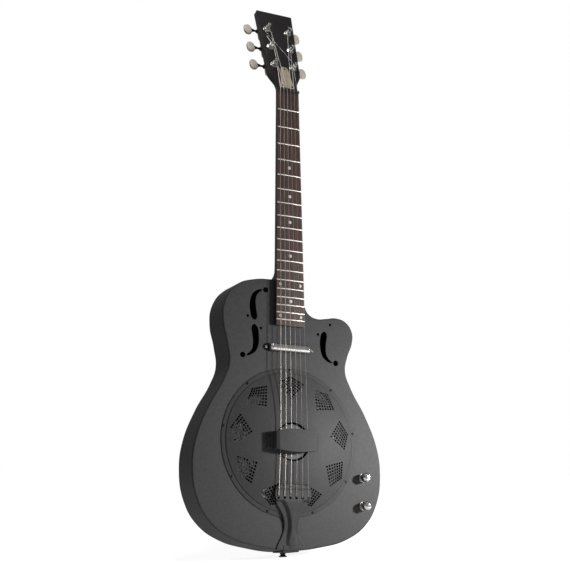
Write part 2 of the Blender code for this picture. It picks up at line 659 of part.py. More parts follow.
def make_control(prefix, z):
    """A potentiometer under the front sheet, its turning shaft and the knob on it."""
    inside = BODY_HALF_DEPTH - SHEET - GAP
    can = [(0.0, inside - 2.5), (3.4, inside - 2.5), (3.4, inside + 6.0), (4.6, inside + 6.0),
           (4.6, inside - GAP), (12.0, inside - GAP), (12.0, inside - 9.5), (0.0, inside - 9.5)]
    turned(f"{prefix}_pot", can, "steel", (KNOB_X, 0.0, z), steps=20)
    base = BODY_HALF_DEPTH + 6.0
    shaft = [(0.0, base + 9.0), (3.0, base + 9.0), (3.0, inside - 2.0), (0.0, inside - 2.0)]
    turned(f"{prefix}_shaft", shaft, "steel", (KNOB_X, 0.0, z), steps=12)
    knob = [(0.0, base + 15.0), (3.4, base + 14.5), (6.2, base + 12.8), (7.7, base + 10.2), (8.0, base + 7.5),
            (8.0, base + 1.2), (7.4, base), (3.4, base), (3.4, base + 9.4), (0.0, base + 9.4)]
    turned(f"{prefix}_knob", knob, "chrome", (KNOB_X, 0.0, z), steps=24)


def make_jack():
    """A socket on a flat plate at the widest part of the treble side."""
    edge = 184.0
    lie = Matrix.Translation(mm(0.0, 0.0, JACK_Z)) @ Matrix.Rotation(math.pi / 2, 4, "Y")
    plate = [(4.9, edge + 2.4), (14.0, edge + 2.4), (15.0, edge + 1.4), (15.0, edge + 0.6), (4.9, edge + 0.6)]
    turned("jack_plate", plate, "black_coat", None, steps=32, ring=True, matrix=lie)
    socket = [(3.2, edge + 4.4), (7.0, edge + 4.4), (7.0, edge + 2.7), (4.6, edge + 2.7), (4.6, edge - 3.0),
              (8.5, edge - 3.0), (8.5, edge - 26.0), (3.2, edge - 26.0)]
    turned("output_jack", socket, "steel", None, steps=20, ring=True, matrix=lie)


# ---- tuners, in the headstock's own frame: x, depth behind the face, station above the nut ----
HOUSING_HALF = 7.9
HOUSING_LOW = -9.0
HOUSING_HIGH = 15.5
HOUSING_DEPTH = 11.4
HOUSING_WALL = 1.2
GEAR_RADIUS = 6.2
WORM_RADIUS = 3.1
SHAFT_RADIUS = 2.0
BUTTON_START = 42.5
BUTTON_HALF_HEIGHT = 11.3


def gear_mesh(radius, thickness):
    """A toothed wheel about the local Y axis."""
    points = []
    for step in range(2 * GEAR_TEETH):
        reach = radius if step % 2 == 0 else radius - 1.1
        angle = math.pi * step / GEAR_TEETH
        points.append((reach * math.cos(angle), reach * math.sin(angle)))
    return outline_mesh("gear", points, thickness, smooth=False)


def button_outline():
    """A kidney: full at the outer end, waisted where it meets the shaft."""
    upper = [(0.0, 2.8), (2.3, 7.0), (6.4, 10.6), (10.7, 11.3), (14.6, 8.8), (16.5, 4.2), (16.8, 0.0)]
    return upper + [(x, -z) for x, z in reversed(upper[:-1])]


def make_tuner(number, side, station, offset):
    """Housing, worm shaft, button and string post of one tuner."""
    names = {kind: f"tuner_{number}_{kind}" for kind in ("housing", "worm_shaft", "button", "post")}
    back = HEAD_THICKNESS + GAP
    centre = side * offset

    low = (centre - HOUSING_HALF, back, station + HOUSING_LOW)
    high = (centre + HOUSING_HALF, back + HOUSING_DEPTH, station + HOUSING_HIGH)
    housing = place(names["housing"], box_mesh(low, high), "nickel", HEAD_MATRIX)
    bevel(housing, 1.2, 1)
    wall = HOUSING_WALL
    low = (low[0] + wall, back - 3.0, low[2] + wall)
    high = (high[0] - wall, high[1] - wall, high[2] - wall)
    cut(housing, box_mesh(low, high), HEAD_MATRIX)
    worm_station = station + WORM_OFFSET
    inner = centre + side * (HOUSING_HALF - 4.0)
    outer = centre + side * (HOUSING_HALF + 4.0)
    cut(housing, rod_mesh((inner, WORM_DEPTH, worm_station), (outer, WORM_DEPTH, worm_station), SHAFT_RADIUS + 0.5),
        HEAD_MATRIX)

    axis = HEAD_MATRIX @ Matrix.Translation(mm(centre, WORM_DEPTH, worm_station))
    reach = side * (BUTTON_START + 3.0) - centre
    shaft = place(names["worm_shaft"], rod_mesh((-side * 6.0, 0.0, 0.0), (reach, 0.0, 0.0), SHAFT_RADIUS, 14),
                  "black_plastic", axis)
    cut(shaft, rod_mesh((-side * 5.5, 0.0, 0.0), (side * 5.5, 0.0, 0.0), WORM_RADIUS, 14), axis, operation="UNION")
    shade_round(shaft)

    shape = outline_mesh("button", [(side * x, z) for x, z in button_outline()], 7.0)
    stand = Matrix.Translation(mm(side * BUTTON_START - centre, 0.0, 0.0)) @ Matrix.Rotation(math.pi / 2, 4, "X")
    button = place(names["button"], shape, "nickel", axis @ stand)
    cut(button, rod_mesh((-side * 5.0, 0.0, 0.0), (side * 3.5, 0.0, 0.0), SHAFT_RADIUS + 0.4, 16), axis @ stand)

    post_axis = HEAD_MATRIX @ Matrix.Translation(mm(centre, 0.0, station)) @ Matrix.Rotation(math.pi / 2, 4, "X")
    profile = [(0.0, 15.5), (2.6, 15.5), (3.1, 14.9), (3.1, 12.4), (2.3, 10.6), (2.3, 7.6), (3.1, 5.4), (3.1, -18.6),
               (3.1, -23.6), (0.0, -23.6)]
    post = turned(names["post"], profile, "nickel", None, steps=12, matrix=post_axis)
    lift = Matrix.Translation(mm(centre, WORM_DEPTH, station)) @ Matrix.Rotation(math.pi / 2, 4, "X")
    cut(post, gear_mesh(GEAR_RADIUS, 3.0), HEAD_MATRIX @ lift, operation="UNION")
    bore = rod_mesh((centre, -9.1, station - 6.0), (centre, -9.1, station + 6.0), 0.9, 8)
    cut(post, bore, HEAD_MATRIX)


# ---- strings ----
STRING_LIFT = 7.8
STRING_POST_GAP = 0.5


def make_string(index):
    """One string from its tailpiece hole over the saddle and the nut to beside its post."""
    share = index / 5.0 - 0.5
    radius = STRING_RADII[index]
    bass = index < 3
    side = -1.0 if bass else 1.0
    slot = index if bass else 5 - index
    tail = mm(STRING_SPREAD_TAIL * share, tailpiece_y(TAIL_HOLE_Z), TAIL_HOLE_Z)
    above = mm(STRING_SPREAD_TAIL * share, tailpiece_y(TAIL_HOLE_Z) - 2.4, TAIL_HOLE_Z + 1.4)
    saddle = mm(STRING_SPREAD_SADDLE * share, SADDLE_TOP_Y - GAP - radius, SADDLE_Z)
    nut = mm(STRING_SPREAD_NUT * share, FRET_PLANE_Y - 0.8 - radius, NUT_Z + NUT_THICKNESS / 2.0)
    beside = side * (POST_OFFSETS[slot] - 3.1 - STRING_POST_GAP - radius)
    post = HEAD_MATRIX @ mm(beside, -STRING_LIFT, POST_STATIONS[slot] + 1.0)
    curve = bpy.data.curves.new(f"string_{6 - index}", "CURVE")
    curve.dimensions = "3D"
    curve.bevel_depth = mm(radius)
    curve.bevel_resolution = 2
    curve.use_fill_caps = True
    spline = curve.splines.new("POLY")
    points = (tail, above, saddle, nut, post)
    spline.points.add(len(points) - 1)
    for point, place_at in zip(spline.points, points):
        point.co = (*place_at, 1.0)
    curve.materials.append(FINISHES["steel"])
    string = bpy.data.objects.new(f"string_{6 - index}", curve)
    guitar.objects.link(string)
    return string


make_top_plate()
make_side_band()
make_back_plate()
make_sound_well()
make_resonator_cone()
make_biscuit()
make_saddle()
make_cover_plate()
make_palm_rest()
make_tailpiece()
make_end_pin()
make_neck()
make_neck_stick()
make_fingerboard()
make_nut()
make_truss_rod()
make_truss_rod_cover()
make_pickup()
make_control("volume", VOLUME_Z)
make_control("tone", TONE_Z)
make_jack()
for row, (post_station, post_offset) in enumerate(zip(POST_STATIONS, POST_OFFSETS)):
    make_tuner(6 - row, -1.0, post_station, post_offset)
    make_tuner(1 + row, 1.0, post_station, post_offset)
for string_index in range(6):
    make_string(string_index)
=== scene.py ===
"""Looks of the resonator guitar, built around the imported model.

The guitar stands on its end pin with Z up the neck, its front towards -Y and the treble side on +X.
Shapes are worked out in millimetres and go through place() into metres. A height is measured
towards the front, so it is -Y in the guitar's frame and in the headstock's own tilted frame.
"""

import math

import bmesh
import bpy
import numpy as np
from mathutils import Matrix, Vector
from mathutils.geometry import delaunay_2d_cdt


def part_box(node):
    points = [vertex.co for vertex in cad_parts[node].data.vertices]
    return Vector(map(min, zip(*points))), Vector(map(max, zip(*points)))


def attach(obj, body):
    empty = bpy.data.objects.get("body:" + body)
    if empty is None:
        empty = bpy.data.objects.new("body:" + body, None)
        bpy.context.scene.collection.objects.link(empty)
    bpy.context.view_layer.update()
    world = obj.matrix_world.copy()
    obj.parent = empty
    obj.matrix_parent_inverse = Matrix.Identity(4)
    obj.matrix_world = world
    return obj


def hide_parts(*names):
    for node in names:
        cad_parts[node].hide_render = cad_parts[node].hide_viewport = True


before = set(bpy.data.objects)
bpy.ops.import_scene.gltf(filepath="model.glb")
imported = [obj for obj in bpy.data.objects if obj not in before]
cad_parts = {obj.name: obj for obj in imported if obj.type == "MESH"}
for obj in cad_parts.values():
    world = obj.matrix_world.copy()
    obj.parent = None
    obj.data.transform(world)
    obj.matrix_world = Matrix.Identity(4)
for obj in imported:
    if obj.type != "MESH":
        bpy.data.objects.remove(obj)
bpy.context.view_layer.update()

# ---- driving dimensions, in millimetres and degrees ----
SCALE_LENGTH = 648.0
FRET_COUNT = 19
BODY_JOIN_FRET = 14
NUT_WIDTH = 43.0
WIDTH_AT_JOIN = 54.5
FRET_HEIGHT = 1.1
BOARD_RADIUS = 305.0
BOARD_THICKNESS = 6.0
SHEET = 1.3
GAP = 0.3
EDGE_ROUND = 2.6
HEAD_TILT = 17.0
HEAD_LENGTH = 189.0
HEAD_THICKNESS = 14.0
HEAD_FACE_DROP = 3.0
POST_STATIONS = (60.5, 103.0, 145.5)
POST_OFFSETS = (20.0, 21.1, 22.2)
STRING_RADII = (0.62, 0.5, 0.4, 0.31, 0.23, 0.19)
SPREAD_NUT = 35.5
SPREAD_SADDLE = 53.0
SPREAD_TAIL = 58.0


def box_mm(node):
    """Corners of a CAD node in millimetres."""
    low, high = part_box(node)
    return low * 1000.0, high * 1000.0


PLATE_LOW = box_mm("top_plate")[0]
FRONT_Y = PLATE_LOW.y
BACK_Y = box_mm("back_plate")[1].y
TAIL_Z = PLATE_LOW.z
NUT_LOW, NUT_HIGH = box_mm("nut")
NUT_Z = NUT_LOW.z
FRET_PLANE_Y = NUT_LOW.y
BOARD_LOW = box_mm("fingerboard")[0]
SADDLE_LOW, SADDLE_HIGH = box_mm("saddle")
SADDLE_Z = (SADDLE_LOW.z + SADDLE_HIGH.z) / 2.0
COVER_LOW, COVER_HIGH = box_mm("cover_plate")
RESONATOR_Z = (COVER_LOW.z + COVER_HIGH.z) / 2.0
PICKUP_LOW, PICKUP_HIGH = box_mm("pickup_tube")
PICKUP_Z = (PICKUP_LOW.z + PICKUP_HIGH.z) / 2.0
BOARD_FACE_Y = FRET_PLANE_Y + FRET_HEIGHT
NECK_TOP_Y = BOARD_FACE_Y + BOARD_THICKNESS + GAP
HEAD = (Matrix.Translation((0.0, FRET_PLANE_Y + HEAD_FACE_DROP, NUT_Z))
        @ Matrix.Rotation(math.radians(-HEAD_TILT), 4, "X"))
TO_FRONT = Matrix.Rotation(math.pi / 2, 4, "X")


def fret_z(number):
    """Height of a fret on the equal-tempered scale."""
    return NUT_Z - SCALE_LENGTH * (1.0 - 2.0 ** (-number / 12.0))


def board_half_width(z):
    """Half width of the fingerboard at height z."""
    share = (NUT_Z - z) / (NUT_Z - fret_z(BODY_JOIN_FRET))
    return (NUT_WIDTH + (WIDTH_AT_JOIN - NUT_WIDTH) * share) / 2.0


def board_height(x):
    """How far the cambered board stands below its middle line at x."""
    return BOARD_RADIUS - math.sqrt(BOARD_RADIUS ** 2 - x ** 2)


# ---- finishes ----
def shader_of(name):
    """A new material with its node tree and Principled shader."""
    material = bpy.data.materials.new(name)
    material.use_nodes = True
    tree = material.node_tree
    return material, tree, tree.nodes["Principled BSDF"]


def noise_at(tree, scale, stretch=(1.0, 1.0, 1.0), detail=4.0, distortion=0.0):
    """Noise in the object's own coordinates."""
    where = tree.nodes.new("ShaderNodeTexCoord")
    mapping = tree.nodes.new("ShaderNodeMapping")
    mapping.inputs["Scale"].default_value = stretch
    noise = tree.nodes.new("ShaderNodeTexNoise")
    noise.inputs["Scale"].default_value = scale
    noise.inputs["Detail"].default_value = detail
    noise.inputs["Distortion"].default_value = distortion
    tree.links.new(where.outputs["Object"], mapping.inputs["Vector"])
    tree.links.new(mapping.outputs["Vector"], noise.inputs["Vector"])
    return noise


def blend_colours(tree, factor, dark, light, low=0.35, high=0.65):
    """Ramp between two colours as the factor goes from low to high."""
    ramp = tree.nodes.new("ShaderNodeValToRGB")
    ramp.color_ramp.elements[0].position = low
    ramp.color_ramp.elements[0].color = (*dark, 1.0)
    ramp.color_ramp.elements[1].position = high
    ramp.color_ramp.elements[1].color = (*light, 1.0)
    tree.links.new(factor, ramp.inputs["Fac"])
    return ramp.outputs["Color"]


def vary(tree, factor, socket, low, high):
    """Drive a shader value between low and high."""
    spread = tree.nodes.new("ShaderNodeMapRange")
    spread.inputs["From Min"].default_value = 0.3
    spread.inputs["From Max"].default_value = 0.7
    spread.inputs["To Min"].default_value = low
    spread.inputs["To Max"].default_value = high
    tree.links.new(factor, spread.inputs["Value"])
    tree.links.new(spread.outputs["Result"], socket)


def add_bump(tree, shader, height, depth_mm, strength=1.0):
    """Raise the surface by a height texture, up to a depth in millimetres."""
    bump = tree.nodes.new("ShaderNodeBump")
    bump.inputs["Strength"].default_value = strength
    bump.inputs["Distance"].default_value = depth_mm / 1000.0
    tree.links.new(height, bump.inputs["Height"])
    tree.links.new(bump.outputs["Normal"], shader.inputs["Normal"])


def coated(name, dark, light, roughness, texture_mm, bump_mm, mottle_mm=70.0, coat=0.0, specular=0.5):
    """Paint, powder coat or moulded plastic: mottled colour over a fine pebbled surface."""
    material, tree, shader = shader_of(name)
    broad = noise_at(tree, 1000.0 / mottle_mm, detail=6.0)
    fine = noise_at(tree, 1000.0 / texture_mm, detail=2.0)
    tree.links.new(blend_colours(tree, broad.outputs["Fac"], dark, light), shader.inputs["Base Color"])
    vary(tree, fine.outputs["Fac"], shader.inputs["Roughness"], *roughness)
    shader.inputs["Specular IOR Level"].default_value = specular
    shader.inputs["Coat Weight"].default_value = coat
    add_bump(tree, shader, fine.outputs["Fac"], bump_mm)
    return material


def metal(name, dark, light, roughness, brush=(1.0, 1.0, 1.0), brush_scale=350.0, bump_mm=0.004):
    """Plated or bare metal with handling marks and a faint brushed direction."""
    material, tree, shader = shader_of(name)
    marks = noise_at(tree, 60.0, detail=6.0)
    brushed = noise_at(tree, brush_scale, stretch=brush, detail=3.0)
    tree.links.new(blend_colours(tree, marks.outputs["Fac"], dark, light), shader.inputs["Base Color"])
    vary(tree, marks.outputs["Fac"], shader.inputs["Roughness"], *roughness)
    shader.inputs["Metallic"].default_value = 1.0
    add_bump(tree, shader, brushed.outputs["Fac"], bump_mm)
    return material


def wood(name, dark, light, roughness, grain_mm=1.4, coat=0.0, pores=0.03):
    """Straight-grained wood: bands along Z, stretched fibres and open pores."""
    material, tree, shader = shader_of(name)
    bands = noise_at(tree, 1000.0 / (grain_mm * 6.0), stretch=(1.0, 1.0, 0.06), distortion=0.6)
    fibres = noise_at(tree, 1000.0 / grain_mm, stretch=(1.0, 1.0, 0.05), detail=6.0)
    mixed = tree.nodes.new("ShaderNodeMath")
    mixed.operation = "MULTIPLY_ADD"
    mixed.inputs[1].default_value = 0.5
    tree.links.new(bands.outputs["Fac"], mixed.inputs[0])
    half = tree.nodes.new("ShaderNodeMath")
    half.operation = "MULTIPLY"
    half.inputs[1].default_value = 0.5
    tree.links.new(fibres.outputs["Fac"], half.inputs[0])
    tree.links.new(half.outputs["Value"], mixed.inputs[2])
    tree.links.new(blend_colours(tree, mixed.outputs["Value"], dark, light, 0.4, 0.6),
                   shader.inputs["Base Color"])
    vary(tree, fibres.outputs["Fac"], shader.inputs["Roughness"], *roughness)
    shader.inputs["Coat Weight"].default_value = coat
    shader.inputs["Coat Roughness"].default_value = 0.25
    add_bump(tree, shader, fibres.outputs["Fac"], pores)
    return material


def spun(name, dark, light, roughness, ring_mm):
    """Spun sheet metal: fine rings round the resonator's axis."""
    material, tree, shader = shader_of(name)
    where = tree.nodes.new("ShaderNodeTexCoord")
    mapping = tree.nodes.new("ShaderNodeMapping")
    mapping.inputs["Location"].default_value = (0.0, 0.0, -RESONATOR_Z / 1000.0)
    rings = tree.nodes.new("ShaderNodeTexWave")
    rings.wave_type = "RINGS"
    rings.rings_direction = "Y"
    rings.inputs["Scale"].default_value = 1000.0 / ring_mm / 20.0
    rings.inputs["Distortion"].default_value = 0.6
    rings.inputs["Detail"].default_value = 3.0
    tree.links.new(where.outputs["Object"], mapping.inputs["Vector"])
    tree.links.new(mapping.outputs["Vector"], rings.inputs["Vector"])
    marks = noise_at(tree, 30.0)
    tree.links.new(blend_colours(tree, marks.outputs["Fac"], dark, light), shader.inputs["Base Color"])
    vary(tree, rings.outputs["Fac"], shader.inputs["Roughness"], *roughness)
    shader.inputs["Metallic"].default_value = 1.0
    add_bump(tree, shader, rings.outputs["Fac"], 0.02)
    return material


BODY_COAT = coated("body_powder_coat", (0.036, 0.034, 0.036), (0.046, 0.044, 0.046), (0.44, 0.58), 0.9, 0.07,
                   4.0, specular=0.3)
PART_COAT = coated("part_powder_coat", (0.039, 0.037, 0.039), (0.048, 0.046, 0.048), (0.46, 0.6), 0.8, 0.05,
                   4.0, specular=0.26)
PLASTIC = coated("black_plastic_look", (0.008, 0.008, 0.009), (0.012, 0.012, 0.013), (0.28, 0.4), 0.8, 0.006)
PEARL = coated("pearl_inlay", (0.66, 0.65, 0.62), (0.84, 0.83, 0.8), (0.2, 0.3), 2.0, 0.004, coat=0.4)
ROSEWOOD = wood("rosewood_look", (0.024, 0.013, 0.011), (0.085, 0.045, 0.036), (0.45, 0.62), 1.1)
NECK_WOOD = wood("ebonised_neck_wood", (0.006, 0.004, 0.004), (0.016, 0.008, 0.007), (0.34, 0.46), 2.0, 0.1,
                 0.008)
HEAD_VENEER = coated("headstock_lacquer", (0.009, 0.0065, 0.0065), (0.012, 0.009, 0.009), (0.42, 0.55), 3.0,
                     0.01, specular=0.3)
MAPLE = wood("maple_look", (0.42, 0.27, 0.13), (0.6, 0.42, 0.23), (0.4, 0.55), 2.4)
DARK_MAPLE = wood("blackened_maple", (0.04, 0.038, 0.039), (0.07, 0.066, 0.066), (0.42, 0.56), 2.0)
ALUMINIUM = spun("spun_aluminium_look", (0.4, 0.4, 0.41), (0.52, 0.52, 0.53), (0.1, 0.18), 1.2)
CHROME = metal("chrome_look", (0.7, 0.68, 0.65), (0.78, 0.76, 0.73), (0.08, 0.18))
NICKEL = metal("nickel_look", (0.58, 0.54, 0.47), (0.7, 0.66, 0.58), (0.2, 0.34), bump_mm=0.006)
FRET_NICKEL = metal("fret_wire_look", (0.8, 0.75, 0.68), (0.9, 0.86, 0.8), (0.3, 0.42), bump_mm=0.004)
SATIN_BUTTON = coated("satin_button_look", (0.5, 0.46, 0.4), (0.58, 0.535, 0.47), (0.36, 0.5), 1.5, 0.01,
                      8.0)
SATIN_NICKEL = coated("satin_nickel_look", (0.34, 0.29, 0.215), (0.41, 0.35, 0.26), (0.36, 0.5), 1.5, 0.01,
                      8.0)
PLATED = metal("plated_steel_look", (0.45, 0.44, 0.42), (0.58, 0.57, 0.54), (0.25, 0.4))
BLACKENED = metal("blackened_steel_look", (0.02, 0.02, 0.022), (0.035, 0.035, 0.035), (0.3, 0.45))
STEEL_STRING = metal("plain_string_look", (0.42, 0.41, 0.39), (0.5, 0.49, 0.47), (0.34, 0.46))
# A brighter copy of the string metal for the turns and loose ends of strings 1 and 5 at the posts: painted
# highlight on the same wires as their lines.
HIGHLIGHT_PAINTED_WIRE = metal("string_end_painted_highlight_look", (0.84, 0.83, 0.81), (0.92, 0.91, 0.89), (0.45, 0.55))
WOUND_STRING = metal("wound_string_look", (0.36, 0.335, 0.29), (0.49, 0.46, 0.4), (0.4, 0.52),
                     brush=(0.02, 0.02, 1.0), brush_scale=2600.0, bump_mm=0.05)

# ---- camera, floor and light ----
EYE = Vector((-1.0235, -2.0139, -0.0892))
LOOK = Vector((0.45890544, 0.86292208, 0.21159224))
DOWN = Vector((0.08766437, 0.1930112, -0.97727255))
LENS = 81.08
SHIFT = (-0.03335, 0.0816)
FLOOR_NORMAL = -DOWN


def make_camera():
    camera = bpy.data.cameras.new("camera")
    camera.lens = LENS
    camera.sensor_width = 36.0
    camera.shift_x, camera.shift_y = SHIFT
    camera.clip_start = 0.05
    seer = bpy.data.objects.new("camera", camera)
    bpy.context.scene.collection.objects.link(seer)
    up = -DOWN
    side = LOOK.cross(up)
    seer.matrix_world = Matrix((
        (side.x, up.x, -LOOK.x, EYE.x),
        (side.y, up.y, -LOOK.y, EYE.y),
        (side.z, up.z, -LOOK.z, EYE.z),
        (0.0, 0.0, 0.0, 1.0),
    ))
    bpy.context.scene.camera = seer


def make_floor():
    """The pale ground under the leaning guitar."""
    shape = bmesh.new()
    bmesh.ops.create_circle(shape, cap_ends=True, cap_tris=False, segments=96, radius=1.6)
    mesh = bpy.data.meshes.new("floor")
    shape.to_mesh(mesh)
    shape.free()
    floor = bpy.data.objects.new("floor", mesh)
    turn = Vector((0.0, 0.0, 1.0)).rotation_difference(FLOOR_NORMAL).to_matrix().to_4x4()
    floor.matrix_world = Matrix.Translation(Vector((0.0, 0.0, -0.0005))) @ turn
    bpy.context.scene.collection.objects.link(floor)
    material, tree, shader = shader_of("floor_paper")
    grain = noise_at(tree, 30.0)
    tree.links.new(blend_colours(tree, grain.outputs["Fac"], (0.78, 0.78, 0.79), (0.8, 0.8, 0.8)),
                   shader.inputs["Base Color"])
    shader.inputs["Roughness"].default_value = 0.9
    shader.inputs["Emission Color"].default_value = (1.0, 1.0, 1.0, 1.0)
    seen = tree.nodes.new("ShaderNodeLightPath")
    glow = tree.nodes.new("ShaderNodeMapRange")
    glow.inputs["To Min"].default_value = 0.3
    glow.inputs["To Max"].default_value = 0.885
    tree.links.new(seen.outputs["Is Camera Ray"], glow.inputs["Value"])
    tree.links.new(glow.outputs["Result"], shader.inputs["Emission Strength"])
    mesh.materials.append(material)


def area_light(name, place_at, aim, size, power):
    light = bpy.data.lights.new(name, "AREA")
    light.shape = "DISK"
    light.size = size
    light.energy = power
    lamp = bpy.data.objects.new(name, light)
    lamp.location = place_at
    lamp.rotation_mode = "QUATERNION"
    lamp.rotation_quaternion = (Vector(aim) - Vector(place_at)).to_track_quat("-Z", "Y")
    bpy.context.scene.collection.objects.link(lamp)
    return lamp


def make_light():
    """A small key from the right, two fills and a rim from above, in a white room."""
    aim = Vector((0.0, 0.0, 0.17))
    area_light("key", aim + Vector((0.7, -0.74, 0.14)) * 1.0, aim, 0.11, 10.0)
    area_light("fill", aim + Vector((-0.5, -1.0, 0.7)).normalized() * 3.0, aim, 1.2, 1.2)
    area_light("head_fill", Vector((-0.2, -0.35, 1.35)), Vector((0.0, 0.0, 0.95)), 0.3, 2.4)
    area_light("rim", aim + Vector((-0.45, 0.3, 1.6)).normalized() * 2.2, aim, 0.8, 3.6)
    world = bpy.data.worlds.new("studio")
    bpy.context.scene.world = world
    world.use_nodes = True
    tree = world.node_tree
    backdrop = tree.nodes["Background"]
    backdrop.inputs["Color"].default_value = (1.0, 1.0, 1.0, 1.0)
    seen = tree.nodes.new("ShaderNodeLightPath")
    room = tree.nodes.new("ShaderNodeBackground")
    room.inputs["Color"].default_value = (0.97, 0.98, 1.0, 1.0)
    glossy = tree.nodes.new("ShaderNodeMapRange")
    glossy.inputs["To Min"].default_value = 0.025
    glossy.inputs["To Max"].default_value = 0.24
    tree.links.new(seen.outputs["Is Glossy Ray"], glossy.inputs["Value"])
    tree.links.new(glossy.outputs["Result"], room.inputs["Strength"])
    choose = tree.nodes.new("ShaderNodeMixShader")
    tree.links.new(seen.outputs["Is Camera Ray"], choose.inputs["Fac"])
    tree.links.new(room.outputs["Background"], choose.inputs[1])
    tree.links.new(backdrop.outputs["Background"], choose.inputs[2])
    tree.links.new(choose.outputs["Shader"], tree.nodes["World Output"].inputs["Surface"])
    bpy.context.scene.view_settings.view_transform = "Standard"


# ---- solids: a pair of vertices in millimetres and faces ----
def place(name, solids, look, body="guitar", matrix=None, replaces=(), sharp=32.0):
    """Make one piece from closed solids, with its finish, on its body."""
    matrix = matrix or Matrix.Identity(4)
    vertices, faces = [], []
    for points, sides in solids:
        start = len(vertices)
        vertices.extend((matrix @ Vector(point)) / 1000.0 for point in points)
        faces.extend(tuple(start + i for i in side) for side in sides)
    mesh = bpy.data.meshes.new(name)
    mesh.from_pydata(vertices, [], faces)
    shape = bmesh.new()
    shape.from_mesh(mesh)
    bmesh.ops.recalc_face_normals(shape, faces=shape.faces)
    shape.to_mesh(mesh)
    shape.free()
    mesh.shade_smooth()
    mesh.set_sharp_from_angle(angle=math.radians(sharp))
    mesh.materials.append(look)
    thing = bpy.data.objects.new(name, mesh)
    bpy.context.scene.collection.objects.link(thing)
    flatter = thing.modifiers.new("flatter", "WEIGHTED_NORMAL")
    flatter.keep_sharp = True
    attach(thing, body)
    if replaces:
        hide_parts(*replaces)
    return thing


def moved(solid, matrix):
    """The same solid somewhere else."""
    points, faces = solid
    return [tuple(matrix @ Vector(point)) for point in points], faces


def fillet(points, radius, steps=4, closed=False):
    """Round the corners of a line of points; a corner with short sides gets a smaller round."""
    points = [Vector(p) for p in points]
    count = len(points)
    rounded = []
    for index, corner in enumerate(points):
        if not closed and index in (0, count - 1):
            rounded.append(tuple(corner))
            continue
        before = points[index - 1] - corner
        after = points[(index + 1) % count] - corner
        reach = min(before.length, after.length) * 0.49
        half = before.angle(after, math.pi) / 2.0
        if half > math.radians(88.0) or reach < 0.001:
            rounded.append(tuple(corner))
            continue
        size = min(radius, reach * math.tan(half))
        start = corner + before.normalized() * size / math.tan(half)
        end = corner + after.normalized() * size / math.tan(half)
        middle = corner + (before.normalized() + after.normalized()).normalized() * size / math.sin(half)
        for step in range(steps + 1):
            spoke = (start - middle).lerp(end - middle, step / steps)
            rounded.append(tuple(middle + spoke.normalized() * size))
    return rounded


def lathe(profile, steps=48, ring=False, flutes=None):
    """Turn a profile of (radius, height) about Z. Flutes are (depth, low, high) grooves in its side."""
    vertices, faces, rows = [], [], []
    for radius, height in profile:
        if radius < 1e-6:
            rows.append([len(vertices)] * steps)
            vertices.append((0.0, 0.0, height))
            continue
        rows.append(list(range(len(vertices), len(vertices) + steps)))
        for step in range(steps):
            angle = 2.0 * math.pi * step / steps
            fluted = flutes and flutes[1] < height < flutes[2] and step % 2
            reach = radius - (flutes[0] if fluted else 0.0)
            vertices.append((reach * math.cos(angle), reach * math.sin(angle), height))
    pairs = list(zip(rows, rows[1:])) + ([(rows[-1], rows[0])] if ring else [])
    for row, following in pairs:
        for i in range(steps):
            j = (i + 1) % steps
            face = tuple(dict.fromkeys((row[i], row[j], following[j], following[i])))
            if len(face) > 2:
                faces.append(face)
    return vertices, faces


def loft(rings, capped=True, around=False):
    """Skin a row of closed rings that have the same number of points."""
    count = len(rings[0])
    vertices = [point for ring in rings for point in ring]
    faces = []
    rows = len(rings) if around else len(rings) - 1
    for row in range(rows):
        a = row * count
        b = (row + 1) % len(rings) * count
        faces.extend((a + i, a + (i + 1) % count, b + (i + 1) % count, b + i) for i in range(count))
    if capped and not around:
        faces.append(tuple(range(count)))
        faces.append(tuple(range(len(vertices) - count, len(vertices))))
    return vertices, faces


def tube(points, radius, sides=10):
    """A round wire along a line of points."""
    points = [Vector(point) for point in points]
    rings = []
    across = None
    for index, point in enumerate(points):
        along = (points[min(index + 1, len(points) - 1)] - points[max(index - 1, 0)]).normalized()
        across = along.orthogonal() if across is None else across - along * across.dot(along)
        across.normalize()
        other = along.cross(across)
        rings.append([tuple(point + radius * (across * math.cos(a) + other * math.sin(a)))
                      for a in (2.0 * math.pi * i / sides for i in range(sides))])
    return loft(rings)


def block(low, high, radius=0.4, steps=2):
    """A box whose four long edges along Z and whose ends are rounded."""
    section = [(low[0], low[1]), (high[0], low[1]), (high[0], high[1]), (low[0], high[1])]
    rings = []
    turns = [math.pi / 2.0 * step / (steps + 1) for step in range(steps + 2)]
    depths = [(radius * (1.0 - math.sin(a)), radius * (1.0 - math.cos(a))) for a in turns]
    for inward, lift in depths:
        rings.append((inward, low[2] + lift))
    rings += [(inward, high[2] - lift) for inward, lift in reversed(depths)]
    made = []
    for inward, z in rings:
        shrunk = [(x + (inward if x == low[0] else -inward), y + (inward if y == low[1] else -inward))
                  for x, y in section]
        made.append([(x, y, z) for x, y in fillet(shrunk, radius, steps, closed=True)])
    return loft(made)


